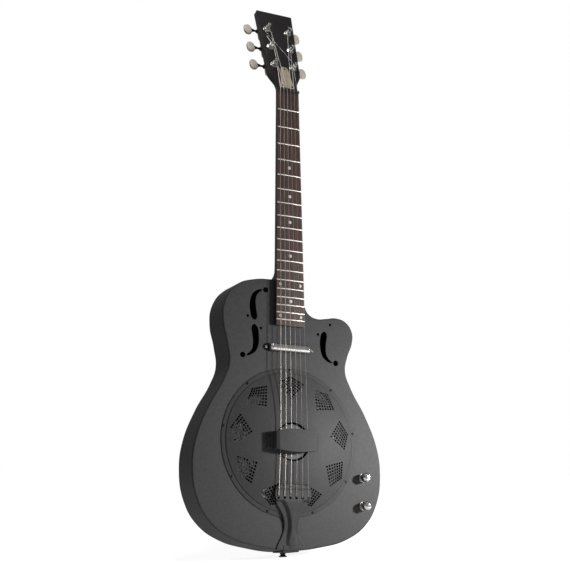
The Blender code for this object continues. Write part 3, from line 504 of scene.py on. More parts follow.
def smooth_loop(points, corners=(), resolution=12):
    """A closed outline through the points, curved everywhere but at the corners."""
    curve = bpy.data.curves.new("outline", "CURVE")
    curve.dimensions = "2D"
    curve.fill_mode = "NONE"
    curve.resolution_u = resolution
    spline = curve.splines.new("BEZIER")
    spline.use_cyclic_u = True
    spline.bezier_points.add(len(points) - 1)
    for index, (point, (x, z)) in enumerate(zip(spline.bezier_points, points)):
        kind = "VECTOR" if index in corners else "AUTO"
        point.co = (x, z, 0.0)
        point.handle_left_type = kind
        point.handle_right_type = kind
    drawn = bpy.data.objects.new("outline", curve)
    bpy.context.scene.collection.objects.link(drawn)
    bpy.context.view_layer.update()
    mesh = drawn.evaluated_get(bpy.context.evaluated_depsgraph_get()).to_mesh()
    loop = [(v.co.x, v.co.y) for v in mesh.vertices]
    bpy.data.objects.remove(drawn)
    bpy.data.curves.remove(curve)
    tidy = [loop[0]]
    for point in loop[1:]:
        if math.dist(point, tidy[-1]) > 0.02:
            tidy.append(point)
    if math.dist(tidy[0], tidy[-1]) < 0.02:
        tidy.pop()
    return tidy


def circle_loop(x, z, radius, steps=24):
    """A round outline."""
    angles = [2.0 * math.pi * i / steps for i in range(steps)]
    return [(x + radius * math.cos(a), z + radius * math.sin(a)) for a in angles]


def inset(loop, distance):
    """Move a closed loop sideways: towards its inside when the distance is positive."""
    points = np.array(loop)
    following = np.roll(points, -1, axis=0)
    area = np.sum(points[:, 0] * following[:, 1] - following[:, 0] * points[:, 1])
    along = following - points
    along /= np.linalg.norm(along, axis=1)[:, None]
    normal = np.stack((-along[:, 1], along[:, 0]), axis=1) * math.copysign(1.0, area)
    both = normal + np.roll(normal, 1, axis=0)
    both /= np.maximum(np.sum(both * both, axis=1), 0.6)[:, None] / 2.0
    return [tuple(p) for p in points + both * distance]


def inside(points, loop):
    """Which points lie inside a closed loop."""
    within = np.zeros(len(points), bool)
    a = np.array(loop)
    for (ax, az), (bx, bz) in zip(a, np.roll(a, -1, axis=0)):
        if az != bz:
            crosses = (az > points[:, 1]) != (bz > points[:, 1])
            at = ax + (points[:, 1] - az) / (bz - az) * (bx - ax)
            within ^= crosses & (points[:, 0] < at)
    return within


def sheet(outer, holes, height, thickness, edge=0.5, hole_edge=0.4, folded=False, extra=()):
    """A sheet with holes, its front at height(x, z), with rounded edges.

    A folded sheet turns back round its outer edge like the rim of a pan, with the sheet's own thickness.
    Extra points let a curved front follow its height between the loops.
    """
    points, front_drop, back_drop, edges = [], [], [], []

    def add_ring(ring, front, back):
        start = len(points)
        count = len(ring)
        points.extend(ring)
        front_drop.extend([front] * count)
        back_drop.extend([back] * count)
        edges.extend((start + i, start + (i + 1) % count) for i in range(count))

    def add_edge(loop, radius, sign, fold):
        if radius < 0.01:
            add_ring(loop, 0.0, 0.0)
            return
        angles = [0.0, 22.5, 45.0, 67.5, 90.0] if radius > 1.0 else [0.0, 40.0, 90.0]
        depths = [radius * (1.0 - math.cos(math.radians(a))) for a in angles]
        if fold:
            depths = sorted({*depths, thickness})
        for depth in depths:
            front = radius - math.sqrt(max(radius ** 2 - (radius - depth) ** 2, 0.0))
            back = 0.0
            if fold:
                bend = radius - thickness
                turned = bend - math.sqrt(max(bend ** 2 - max(radius - depth, 0.0) ** 2, 0.0))
                back = bend if depth <= thickness else turned
            add_ring(inset(loop, sign * depth) if depth else loop, front, back)

    add_edge(outer, edge, 1.0, folded)
    for hole in holes:
        add_edge(hole, hole_edge, -1.0, False)
    if len(extra):
        spare = np.array(extra)
        keep = inside(spare, inset(outer, edge + 0.4))
        for hole in holes:
            centre = np.mean(np.array(hole), axis=0)
            reach = max(math.dist(centre, p) for p in hole) + hole_edge + 0.6
            near = np.linalg.norm(spare - centre, axis=1) < reach
            if near.any():
                keep[near] &= ~inside(spare[near], inset(hole, -hole_edge - 0.35))
        kept = [tuple(p) for p in spare[keep]]
        points.extend(kept)
        front_drop.extend([0.0] * len(kept))
        back_drop.extend([0.0] * len(kept))
    made, _, triangles, origin, _, _ = delaunay_2d_cdt([Vector(p) for p in points], edges, [], 0, 1e-5)
    flat = np.array([tuple(v) for v in made])
    first = [source[0] if source else 0 for source in origin]
    corners = np.array([tuple(t) for t in triangles])
    middles = flat[corners].mean(axis=1)
    kept = inside(middles, outer)
    for hole in holes:
        near = np.all((middles >= np.min(hole, axis=0)) & (middles <= np.max(hole, axis=0)), axis=1)
        if near.any():
            kept[near] &= ~inside(middles[near], hole)
    corners = corners[kept]
    count = len(flat)
    fronts = [height(x, z) for x, z in flat]
    vertices = [(x, -(h - front_drop[o]), z) for (x, z), h, o in zip(flat, fronts, first)]
    vertices += [(x, -(h - thickness - back_drop[o]), z) for (x, z), h, o in zip(flat, fronts, first)]
    faces = [tuple(t) for t in corners] + [tuple(reversed([i + count for i in t])) for t in corners]
    directed = {(t[i], t[(i + 1) % 3]) for t in corners.tolist() for i in range(3)}
    faces += [(b, a, a + count, b + count) for a, b in directed if (b, a) not in directed]
    used = sorted({int(i) for face in faces for i in face})
    renumber = {old: new for new, old in enumerate(used)}
    return [vertices[i] for i in used], [tuple(renumber[i] for i in face) for face in faces]


def pillow(loop, half, crown=0.4, steps=5):
    """A flat shape with fully rounded edges and slightly crowned faces, in the x and z plane."""
    middle = np.mean(np.array(loop), axis=0)
    front = []
    for step in range(steps + 1):
        angle = math.pi / 2.0 * step / steps
        depth = half * (1.0 - math.cos(angle))
        front.append((inset(loop, depth) if depth else loop, half * math.sin(angle)))
    last = np.array(front[-1][0])
    for share in (0.75, 0.45, 0.15):
        ring = [tuple(p) for p in middle + (last - middle) * share]
        front.append((ring, half + crown * (1.0 - share ** 2)))
    rings = [[(x, y, z) for x, z in ring] for ring, y in reversed(front)]
    rings += [[(x, -y, z) for x, z in ring] for ring, y in front[1:]]
    return loft(rings)


def screw(radius, height, shank=3.0):
    """A domed cross-head screw about the Y axis, its head towards -Y on the plane y = 0."""
    arm, reach = radius * 0.16, radius * 0.58
    cross = [(reach, arm), (arm, arm), (arm, reach), (-arm, reach), (-arm, arm), (-reach, arm),
             (-reach, -arm), (-arm, -arm), (-arm, -reach), (arm, -reach), (arm, -arm), (reach, -arm)]
    rings = [p for share in (0.3, 0.7, 0.88) for p in circle_loop(0.0, 0.0, radius * share, 20)]

    def dome(x, z):
        return height * (1.0 - 0.45 * (x * x + z * z) / radius ** 2)

    head = sheet(circle_loop(0.0, 0.0, radius, 28), [cross], dome, height * 0.55, edge=height * 0.3,
                 hole_edge=0.0, extra=rings)
    core = lathe([(0.0, height * 0.35), (radius * 0.7, height * 0.35), (radius * 0.8, height * 0.1),
                  (radius * 0.45, 0.0), (radius * 0.45, -shank), (0.0, -shank)], 20)
    return [head, moved(core, TO_FRONT)]


def grid_points(low_x, high_x, low_z, high_z, spacing):
    """Staggered points over a rectangle."""
    rows = int((high_z - low_z) / spacing) + 1
    columns = int((high_x - low_x) / spacing) + 1
    return [(low_x + (column + 0.5 * (row % 2)) * spacing, low_z + row * spacing)
            for row in range(rows) for column in range(columns)]


def smooth_step(value):
    """0 below 0, 1 above 1 and a soft rise between."""
    value = min(max(value, 0.0), 1.0)
    return value * value * (3.0 - 2.0 * value)


def through(value, stations):
    """A straight-line value through (place, value) stations, held beyond the ends."""
    return float(np.interp(value, [s[0] for s in stations], [s[1] for s in stations]))


# ---- body ----
LOWER_BOUT = ((62.0, 16.0), (110.0, 28.5), (151.0, 55.0), (175.5, 95.0), (184.0, 148.0),
              (178.0, 195.0), (155.5, 250.0), (126.0, 301.0), (115.5, 331.0))
BASS_UPPER = ((-119.5, 366.0), (-127.5, 405.0), (-123.5, 440.0), (-100.0, 471.0), (-64.0, 484.5))
TREBLE_UPPER = ((120.5, 357.0), (131.0, 384.0), (131.5, 404.0), (119.0, 422.0), (99.0, 428.0),
                (78.0, 425.2), (60.0, 423.2), (45.0, 428.0), (36.0, 439.0))
NECK_CORNER = (30.0, 487.5)
WELL_OPENING = 120.0
F_HOLE_LINE = ((0.0, -9.6, 5.8), (1.0, -14.0, 6.3), (2.2, -21.0, 6.3), (2.9, -30.0, 5.9), (2.3, -40.0, 5.2),
               (-0.6, -49.0, 4.2), (-6.6, -55.6, 2.8), (-15.0, -60.0, 0.9))
F_HOLE_BASS = (-67.0, 406.0)
F_HOLE_TREBLE = (72.5, 404.5)
F_DOT_LARGE = (-22.8, -60.3, 5.0)
F_DOT_SMALL = (12.7, -9.9, 2.5)


def hexagon_loop(reach, turn=0.0):
    """A hexagon's six corners, each as far from the middle as reach."""
    angles = [math.pi / 3.0 * index + turn for index in range(6)]
    return [(reach * math.cos(a), reach * math.sin(a)) for a in angles]


def six_across(width):
    """The six strings' places over a width, from the bass side."""
    return [width * (index / 5.0 - 0.5) for index in range(6)]


def strap_frames(path):
    """Each point of a bent strap's path with the direction square to it."""
    for index, point in enumerate(path):
        before, after = path[max(index - 1, 0)], path[min(index + 1, len(path) - 1)]
        along = Vector((after[0] - before[0], after[1] - before[1])).normalized()
        yield point, Vector((-along.y, along.x))


def middle_of(node):
    """Middle of a CAD node's box, in millimetres."""
    low, high = box_mm(node)
    return (low + high) / 2.0


def body_loop():
    """The body's outline, from the tail up the bass side and down the treble side."""
    bass = [(-x, z) for x, z in LOWER_BOUT]
    neck = [(-NECK_CORNER[0], NECK_CORNER[1]), NECK_CORNER]
    points = [(0.0, TAIL_Z), *bass, *BASS_UPPER, *neck, *reversed(TREBLE_UPPER), *reversed(LOWER_BOUT)]
    corner = 1 + len(bass) + len(BASS_UPPER)
    return smooth_loop(points, (corner, corner + 1), 10)


def comma_loop(centre, flip_x, flip_z):
    """One half of an f-hole, from its blunt end to its thin tip."""
    line = [(centre[0] + flip_x * x, centre[1] + flip_z * z, half) for x, z, half in F_HOLE_LINE]
    left, right = [], []
    for index, (x, z, half) in enumerate(line):
        before = line[max(index - 1, 0)]
        after = line[min(index + 1, len(line) - 1)]
        along = Vector((after[0] - before[0], after[1] - before[1])).normalized()
        left.append((x - along.y * half, z + along.x * half))
        right.append((x + along.y * half, z - along.x * half))
    start = (Vector(line[0][:2]) - Vector(line[1][:2])).normalized()
    blunt = Vector(line[0][:2]) + start * line[0][2]
    end = Vector(line[-1][:2]) + (Vector(line[-1][:2]) - Vector(line[-2][:2])).normalized()
    return smooth_loop([tuple(blunt), *left, tuple(end), *reversed(right)], resolution=6)


def make_body():
    """Front and back sheets folded round their rims, and the side band between them."""
    outline = body_loop()
    halves = ((F_HOLE_BASS, 1.0, 1.0), (F_HOLE_BASS, -1.0, -1.0), (F_HOLE_TREBLE, -1.0, 1.0))
    holes = [circle_loop(0.0, RESONATOR_Z, WELL_OPENING, 128)]
    for (x, z), flip_x, flip_z in halves:
        holes.append(comma_loop((x, z), flip_x, flip_z))
        for dot_x, dot_z, radius in (F_DOT_LARGE, F_DOT_SMALL):
            holes.append(circle_loop(x + flip_x * dot_x, z + flip_z * dot_z, radius))
    x, z, radius = F_DOT_SMALL
    holes.append(circle_loop(F_HOLE_TREBLE[0] + x, F_HOLE_TREBLE[1] - z, radius))
    for node, radius in (("volume_pot", 5.0), ("tone_pot", 5.0), ("pickup_screw_bass", 1.7),
                         ("pickup_screw_treble", 1.7)):
        centre = middle_of(node)
        holes.append(circle_loop(centre.x, centre.z, radius, 16))
    wire_slot = [(-20.0, -4.0), (20.0, -4.0), (20.0, 4.0), (-20.0, 4.0)]
    holes.append([(x, PICKUP_Z + z) for x, z in wire_slot])
    front = sheet(outline, holes, lambda x, z: -FRONT_Y, SHEET, edge=EDGE_ROUND, folded=True)
    place("front_sheet", [front], BODY_COAT, replaces=("top_plate",))
    mirrored = [(-x, z) for x, z in outline]
    back = sheet(mirrored, [], lambda x, z: BACK_Y, SHEET, edge=EDGE_ROUND, folded=True)
    place("back_sheet", [moved(back, Matrix.Rotation(math.pi, 4, "Z"))], BODY_COAT,
          replaces=("back_plate",))
    inner = inset(outline, SHEET)
    low, high = FRONT_Y + EDGE_ROUND, BACK_Y - EDGE_ROUND
    corners = ((outline, low), (outline, high), (inner, high), (inner, low))
    walls = loft([[(x, y, z) for x, z in loop] for loop, y in corners], around=True)
    place("side_sheet", [walls], BODY_COAT, replaces=("side_band",))


# ---- resonator, cover and bridge ----
COVER_SHEET = 1.0
COVER_RADIUS = 131.3
COVER_HOLE = 34.0
DOME_RADIUS = 123.0
DOME_FOOT = 1.9
DOME_RISE = 9.3
SCREW_CIRCLE = 128.0
CLUSTER_ANGLES = [math.radians(9.6 + 40.0 * k) for k in range(9)]
CLUSTER_INNER = 79.6
CLUSTER_OUTER = 115.4
CLUSTER_SIDE = (103.2, 24.0)
HOLES_A_SIDE = 7
SOUND_HOLE_RADIUS = 2.0


def cover_rise(x, z):
    """Height of the cover over the front sheet: a flange, a bead and a dome."""
    radius = math.hypot(x, z - RESONATOR_Z)
    if radius < DOME_RADIUS:
        share = max(radius - COVER_HOLE, 0.0) / (DOME_RADIUS - COVER_HOLE)
        return DOME_FOOT + DOME_RISE * (1.0 - share ** 1.7)
    flange = 0.6 * (1.0 - smooth_step((radius - 125.0) / (COVER_RADIUS - 125.0)))
    step = smooth_step((124.4 - radius) / (124.4 - DOME_RADIUS))
    return flange + (DOME_FOOT - 0.6) * step


def sound_holes():
    """Nine kite-shaped groups of small round holes, one on each screw's radius."""
    holes = []
    for angle in CLUSTER_ANGLES:
        out = Vector((math.cos(angle), math.sin(angle)))
        across = Vector((-out.y, out.x))
        inner, outer = out * CLUSTER_INNER, out * CLUSTER_OUTER
        left = out * CLUSTER_SIDE[0] + across * CLUSTER_SIDE[1]
        right = out * CLUSTER_SIDE[0] - across * CLUSTER_SIDE[1]
        for row in range(HOLES_A_SIDE):
            for column in range(HOLES_A_SIDE):
                u, v = row / (HOLES_A_SIDE - 1), column / (HOLES_A_SIDE - 1)
                near = inner.lerp(left, u)
                far = right.lerp(outer, u)
                at = near.lerp(far, v)
                holes.append(circle_loop(at.x, RESONATOR_Z + at.y, SOUND_HOLE_RADIUS, 12))
    return holes


def make_cover():
    """The domed cover with its sound holes, the hole over the bridge and its screws."""
    base = -FRONT_Y + GAP + COVER_SHEET
    radii = [35.5, 38.0, *range(42, 119, 4), 121.0, 122.6, 123.0, 123.3, 123.6, 123.9, 124.2, 124.6, 125.6,
             127.0, 129.0]
    rings = [p for radius in radii for p in circle_loop(0.0, RESONATOR_Z, radius, 150)]
    cover = sheet(circle_loop(0.0, RESONATOR_Z, COVER_RADIUS, 180),
                  [circle_loop(0.0, RESONATOR_Z, COVER_HOLE, 90), *sound_holes()],
                  lambda x, z: base + cover_rise(x, z), COVER_SHEET, edge=0.5, hole_edge=0.0, extra=rings)
    place("cover_dome", [cover], PART_COAT, replaces=("cover_plate",))
    for number, angle in enumerate(CLUSTER_ANGLES, 1):
        x, z = SCREW_CIRCLE * math.cos(angle), RESONATOR_Z + SCREW_CIRCLE * math.sin(angle)
        stand = Matrix.Translation((x, -(base + cover_rise(x, z) - 0.3), z)) @ Matrix.Rotation(angle, 4, "Y")
        place(f"cover_screw_{number}", screw(2.4, 1.2), BLACKENED, matrix=stand)


def make_cone():
    """The spun cone with its rolled rim, rings pressed in its flank and a flat apex."""
    low, high = box_mm("resonator_cone")
    radius, rim, apex = high.x, -high.y, -low.y
    flank = []
    steps = 36
    for step in range(steps + 1):
        share = step / steps
        reach = 31.0 + (radius - 6.0 - 31.0) * share
        height = apex - 0.6 - (apex - 0.6 - rim - 2.2) * share
        flank.append((reach, height + 0.35 * math.sin(share * math.pi * 12.0)))
    over = [(0.0, apex), (29.0, apex), *flank, (radius - 3.0, rim + 2.2), (radius - 0.6, rim + 1.7),
            (radius, rim + 0.9), (radius - 0.6, rim)]
    under = [(reach, height - 1.2) for reach, height in reversed(flank)]
    profile = [*over, *under, (28.5, apex - 1.0), (0.0, apex - 1.0)]
    stand = Matrix.Translation((0.0, 0.0, RESONATOR_Z)) @ TO_FRONT
    place("cone_spun", [moved(lathe(profile, 128), stand)], ALUMINIUM,
          replaces=("resonator_cone",))


def make_bridge():
    """The biscuit on the cone's apex, its two screws and the notched saddle."""
    low, high = box_mm("biscuit")
    radius, foot, top = high.x, -high.y, -low.y
    profile = [(0.0, top), *fillet([(radius - 4.0, top), (radius, top), (radius, foot)], 1.6), (0.0, foot)]
    stand = Matrix.Translation((0.0, 0.0, RESONATOR_Z)) @ TO_FRONT
    place("biscuit_disc", [moved(lathe(profile, 72), stand)], DARK_MAPLE, replaces=("biscuit",))
    for name, z in (("upper", 13.5), ("lower", -13.5)):
        at = Matrix.Translation((0.0, -top + 0.1, RESONATOR_Z + z))
        place(f"biscuit_screw_{name}", screw(2.8, 1.4), PLATED, matrix=at)
    low, high = box_mm("saddle")
    rings = []
    notches = six_across(SPREAD_SADDLE)
    stations = sorted({low.x, low.x + 0.5, high.x - 0.5, high.x,
                       *[n + d for n in notches for d in (-1.4, -0.8, -0.35, 0.35, 0.8, 1.4)]})
    for x in stations:
        near = min(abs(x - n) for n in notches)
        top_y = low.y + 0.15 - 0.55 * smooth_step((near - 0.3) / 0.6)
        section = [(low.z, high.y), (high.z, high.y), (high.z - 0.2, top_y + 1.0), (SADDLE_Z + 0.5, top_y),
                   (SADDLE_Z - 0.5, top_y), (low.z + 0.2, top_y + 1.0)]
        rings.append([(x, y, z) for z, y in section])
    place("saddle_bridge", [loft(rings)], MAPLE, replaces=("saddle",))


def make_palm_rest():
    """A bent strap over the bridge with rounded edges, and a screw in each foot."""
    low, high = box_mm("palm_rest")
    top, foot_y, half = low.y, high.y, high.x
    thick = 1.6
    line = [(0.0, top), (20.0, top + 0.2), (34.4, top + 0.8), (40.6, top + 2.8), (42.1, foot_y - thick),
            (half, foot_y - thick)]
    bent = fillet(line, 2.0, 6)
    path = [(-x, y) for x, y in reversed(bent)] + bent[1:]
    rings = []
    for (x, y), normal in strap_frames(path):
        width = 20.2 - 5.2 * min(abs(x) / 42.6, 1.0) ** 2
        width -= 2.0 * smooth_step((abs(x) - half + 4.0) / 4.0)
        corners = [(0.0, -width), (thick, -width), (thick, width), (0.0, width)]
        section = fillet(corners, 0.55, 3, closed=True)
        rings.append([(x + normal.x * d, y + normal.y * d, RESONATOR_Z + w) for d, w in section])
    place("palm_rest_strap", [loft(rings)], PART_COAT, replaces=("palm_rest",))
    for name, side in (("bass", -1.0), ("treble", 1.0)):
        for label, z in (("lower", -9.0), ("upper", 9.0)):
            at = Matrix.Translation((side * (half - 4.4), foot_y - thick + 0.1, RESONATOR_Z + z))
            place(f"palm_rest_screw_{name}_{label}", screw(2.0, 1.1), BLACKENED,
                  matrix=at)


# ---- tailpiece and end pin ----
TAILPIECE_HALF = ((22.0, 121.5), (31.5, 118.5), (34.5, 110.0), (33.8, 98.0), (28.0, 85.5), (20.5, 74.5),
                  (15.4, 64.0), (13.6, 53.0), (14.6, 43.0), (18.8, 32.0), (24.2, 22.0), (27.6, 14.5))
TAILPIECE_LOW = 2.4
STEM_SLOPE = math.tan(math.radians(6.8))
FAN_SLOPE = math.tan(math.radians(2.0))
FAN_RISE = 82.0
TAIL_HOLE_Z = 99.0
TAILPIECE_SHEET = 2.0
WEDGE_HALF = ((13.5, 0.0), (16.0, 1.6), (19.0, 3.0), (24.0, 4.0), (31.0, 3.4), (40.0, 1.6), (50.0, 0.9),
              (60.0, 1.6), (69.0, 3.4), (77.0, 6.2), (84.0, 9.6), (90.0, 13.2), (96.0, 18.0))
GROOVE_DEPTH = 4.6


def tailpiece_front(z):
    """Height of the fan's plain front at z: the stem climbs from the tail, the fan lies flatter."""
    rise = z - TAIL_Z
    climb = min(rise, FAN_RISE) * STEM_SLOPE - max(rise - FAN_RISE, 0.0) * FAN_SLOPE
    return -FRONT_Y + TAILPIECE_LOW + TAILPIECE_SHEET / 2.0 + climb


def make_tailpiece():
    """The stamped fan with its ridge standing over two lower flanks, and the tab under the tail."""
    right = list(TAILPIECE_HALF)
    points = [(0.0, 112.8 + TAIL_Z), *right, (28.0, TAIL_Z + 1.5), (-28.0, TAIL_Z + 1.5),
              *[(-x, z) for x, z in reversed(right)]]
    corners = (len(right) + 1, len(right) + 2)
    outline = smooth_loop(points, corners, 10)

    def front(x, z):
        wedge = through(z, WEDGE_HALF)
        groove = smooth_step((abs(x) - wedge) / 6.5)
        groove *= smooth_step((95.5 - z) / 4.0) * smooth_step((z - 11.0) / 3.0)
        depth = min(GROOVE_DEPTH, tailpiece_front(z) + FRONT_Y - TAILPIECE_SHEET - GAP - 0.1)
        ledge = 1.1 * smooth_step((z - 112.5) / 2.5)
        return tailpiece_front(z) - depth * groove + ledge

    holes = [circle_loop(x, TAIL_HOLE_Z, 2.4, 20) for x in six_across(SPREAD_TAIL)]
    relief = grid_points(-36.0, 36.0, TAIL_Z, 124.0, 1.25)
    fan = sheet(outline, holes, front, TAILPIECE_SHEET, edge=0.8, hole_edge=0.4, extra=relief)
    foot = tailpiece_front(TAIL_Z) - TAILPIECE_SHEET / 2.0
    under = TAIL_Z - GAP - TAILPIECE_SHEET / 2.0
    path = fillet([(-foot, TAIL_Z + 8.0), (-foot, under), (9.0, under)], 3.0, 6)
    rings = []
    for (y, z), normal in strap_frames(path):
        section = fillet([(-15.0, -0.9), (15.0, -0.9), (15.0, 0.9), (-15.0, 0.9)], 0.4, 2, closed=True)
        rings.append([(x, y + normal.x * d, z + normal.y * d) for x, d in section])
    place("tailpiece_stamping", [fan, loft(rings)], PART_COAT, replaces=("tailpiece",))


def make_end_pin():
    """The flared black button the guitar stands on."""
    high = box_mm("end_pin")[1]
    flare = high.x
    profile = [(0.0, high.z), (2.0, high.z - 1.0), (3.0, high.z - 4.0), (3.0, 6.8),
               *fillet([(5.4, 6.8), (5.2, 5.9), (4.2, 4.6), (4.5, 3.2), (flare - 0.6, 1.9), (flare, 1.2),
                        (flare - 0.2, 0.3), (6.4, 0.0)], 0.6), (0.0, 0.0)]
    place("end_pin_button", [lathe(profile, 40)], PLASTIC, replaces=("end_pin",))


# ---- neck, fingerboard and headstock ----
NECK_BACK_POINTS = 26
HEAD_HALF = ((0.0, 21.5), (14.0, 21.5), (18.0, 21.9), (22.0, 22.9), (27.0, 25.2), (32.0, 27.9), (37.0, 30.5),
             (41.0, 31.8), (46.0, 32.5), (50.0, 32.6), (HEAD_LENGTH, 37.0))
VENEER = 0.8
SINGLE_DOTS = (5, 7, 9, 12, 17)
DOUBLE_DOTS = (15, 19)
DOT_RADIUS = 3.1


def neck_ring(base, tilt, half, front, back, power):
    """A closed section: flat in front, a superellipse behind, square to a tilted centre line."""
    lean = math.radians(tilt)
    ring = []
    for step in range(NECK_BACK_POINTS + 1):
        angle = math.pi * step / NECK_BACK_POINTS
        x = math.copysign(abs(math.cos(angle)) ** (2.0 / power), math.cos(angle)) * half
        depth = front + abs(math.sin(angle)) ** (2.0 / power) * (back - front)
        ring.append((x, base[0] + depth * math.cos(lean), base[1] - depth * math.sin(lean)))
    return ring


def head_base(station):
    """A point of the headstock's face line, as (y, z)."""
    point = HEAD @ Vector((0.0, 0.0, station))
    return point.y, point.z


def make_neck():
    """Heel, shaft and headstock in one piece of wood, with the tongue over the body."""
    corner = NECK_CORNER[1] + GAP
    shaft = ((corner, 54.0, 0.92, 3.2), (489.3, 50.0, 0.92, 3.1), (491.0, 44.0, 0.93, 3.0),
             (492.8, 37.5, 0.95, 2.8), (494.5, 32.0, 0.96, 2.6), (497.0, 26.5, 0.98, 2.4),
             (499.5, 23.0, 0.99, 2.3), (503.0, 20.7, 1.0, 2.2), (507.0, 19.6, 1.0, 2.2),
             (516.0, 18.9, 1.0, 2.2), (530.0, 18.5, 1.0, 2.2), (600.0, 17.6, 1.0, 2.2),
             (680.0, 16.8, 1.0, 2.2), (760.0, 16.0, 1.0, 2.2), (820.0, 15.3, 1.0, 2.2),
             (NUT_Z, 15.0, 1.0, 2.3), (NUT_HIGH.z + GAP, 15.0, 1.0, 2.4))
    rings = []
    for z, depth, share, power in shaft:
        half = (board_half_width(min(z, NUT_Z)) - 0.2) * share
        rings.append(neck_ring((0.0, z), 0.0, half, NECK_TOP_Y, NECK_TOP_Y + depth, power))
    face = head_base(6.8)[0] + VENEER
    behind_nut = (0.0, NUT_HIGH.z + GAP + 0.05)
    rings.append(neck_ring(behind_nut, 0.0, NUT_WIDTH / 2.0, face, NECK_TOP_Y + 15.0, 2.6))
    for station, depth, power in ((10.0, 15.8, 3.0), (15.0, 15.2, 3.6), (20.0, 14.5, 4.6), (27.0, 14.1, 7.0),
                                  (34.0, HEAD_THICKNESS, 12.0), (41.0, HEAD_THICKNESS, 16.0),
                                  (50.0, HEAD_THICKNESS, 18.0), (HEAD_LENGTH - 1.2, HEAD_THICKNESS, 18.0),
                                  (HEAD_LENGTH - 0.4, HEAD_THICKNESS - 0.3, 18.0),
                                  (HEAD_LENGTH, HEAD_THICKNESS - 1.0, 18.0)):
        end_round = max(station - HEAD_LENGTH + 1.2, 0.0)
        half = through(station, HEAD_HALF) - 0.6 * end_round ** 2
        rings.append(neck_ring(head_base(station), HEAD_TILT, half, VENEER, depth, power))
    place("neck_shaft", [loft(rings)], NECK_WOOD, replaces=("neck",))
    tongue_low = BOARD_LOW.z + 3.0
    tongue = []
    for z in (tongue_low, tongue_low + 0.5, corner - 2.0, corner + 10.0):
        half = board_half_width(z) - (0.3 if z > tongue_low else 0.8)
        face = FRONT_Y - GAP
        tongue_corners = [(-half, NECK_TOP_Y), (half, NECK_TOP_Y), (half, face), (-half, face)]
        section = fillet(tongue_corners, 0.4, 2, closed=True)
        tongue.append([(x, y, z) for x, y in section])
    place("neck_tongue", [loft(tongue)], NECK_WOOD)


def make_headstock_face():
    """The black veneer on the headstock, its top edge straight across."""
    stations = [6.8, 14.0, 16.0, 18.0, 20.0, 22.0, 24.5, 27.0, 29.5, 32.0, 34.5, 37.0, 39.0, 41.0, 43.5,
                46.0, 50.0, HEAD_LENGTH]
    right = [(through(s, HEAD_HALF), s) for s in stations]
    outline = right + [(-x, s) for x, s in reversed(right)]
    veneer = sheet(outline, [], lambda x, s: 0.0, VENEER, edge=0.4)
    place("headstock_face", [moved(veneer, HEAD)], HEAD_VENEER)


def board_section(x):
    """Y of the cambered board's face at x."""
    return BOARD_FACE_Y + board_height(x)


def make_fingerboard():
    """The cambered board, its frets and its dots."""
    low = BOARD_LOW.z
    high = NUT_LOW.z - GAP
    back = BOARD_FACE_Y + BOARD_THICKNESS
    rings = []
    for z in (low, low + 0.5, *[low + (high - low) * k / 8.0 for k in range(1, 8)], high):
        half = board_half_width(z) - (0.5 if z == low else 0.0)
        across = [half * (k / 8.0 - 1.0) for k in range(17)]
        face = [(x, board_section(x)) for x in across]
        face[0] = (face[0][0] + 0.25, face[0][1])
        face[-1] = (face[-1][0] - 0.25, face[-1][1])
        ring = [*face, (half, face[-1][1] + 0.3), (half, back), (-half, back), (-half, face[0][1] + 0.3)]
        rings.append([(x, y, z) for x, y in ring])
    place("fingerboard_camber", [loft(rings)], ROSEWOOD, replaces=("fingerboard",))
    for number in range(1, FRET_COUNT + 1):
        place(f"fret_{number:02d}", [fret_wire(fret_z(number))], FRET_NICKEL)
    dots = [(number, 0.0) for number in SINGLE_DOTS]
    dots += [(number, side) for number in DOUBLE_DOTS for side in (-1.0, 1.0)]
    for number, side in dots:
        z = (fret_z(number) + fret_z(number - 1)) / 2.0
        x = side * board_half_width(z) * 0.7
        profile = [(0.0, 0.06), (DOT_RADIUS - 0.1, 0.04), (DOT_RADIUS, -0.1), (DOT_RADIUS, -1.2),
                   (0.0, -1.2)]
        name = f"dot_{number:02d}" + ("" if not side else "_bass" if side < 0 else "_treble")
        at = Matrix.Translation((x, board_section(x), z)) @ TO_FRONT
        place(name, [moved(lathe(profile, 28), at)], PEARL)


def fret_wire(z):
    """A crowned fret bent to the board's camber, its ends filed back."""
    half = board_half_width(z) - 0.1
    rings = []
    for share in (-1.0, -0.985, *[k / 7.0 for k in range(-6, 7)], 0.985, 1.0):
        x = share * half
        crown = FRET_HEIGHT * (0.35 if abs(share) == 1.0 else 1.0)
        ring = [(x, board_section(x) - crown * math.sin(a), z + 1.1 * math.cos(a))
                for a in (math.pi * k / 8.0 for k in range(9))]
        ring += [(x, board_section(x) + 0.5, z - 1.1), (x, board_section(x) + 0.5, z + 1.1)]
        rings.append(ring)
    return loft(rings)


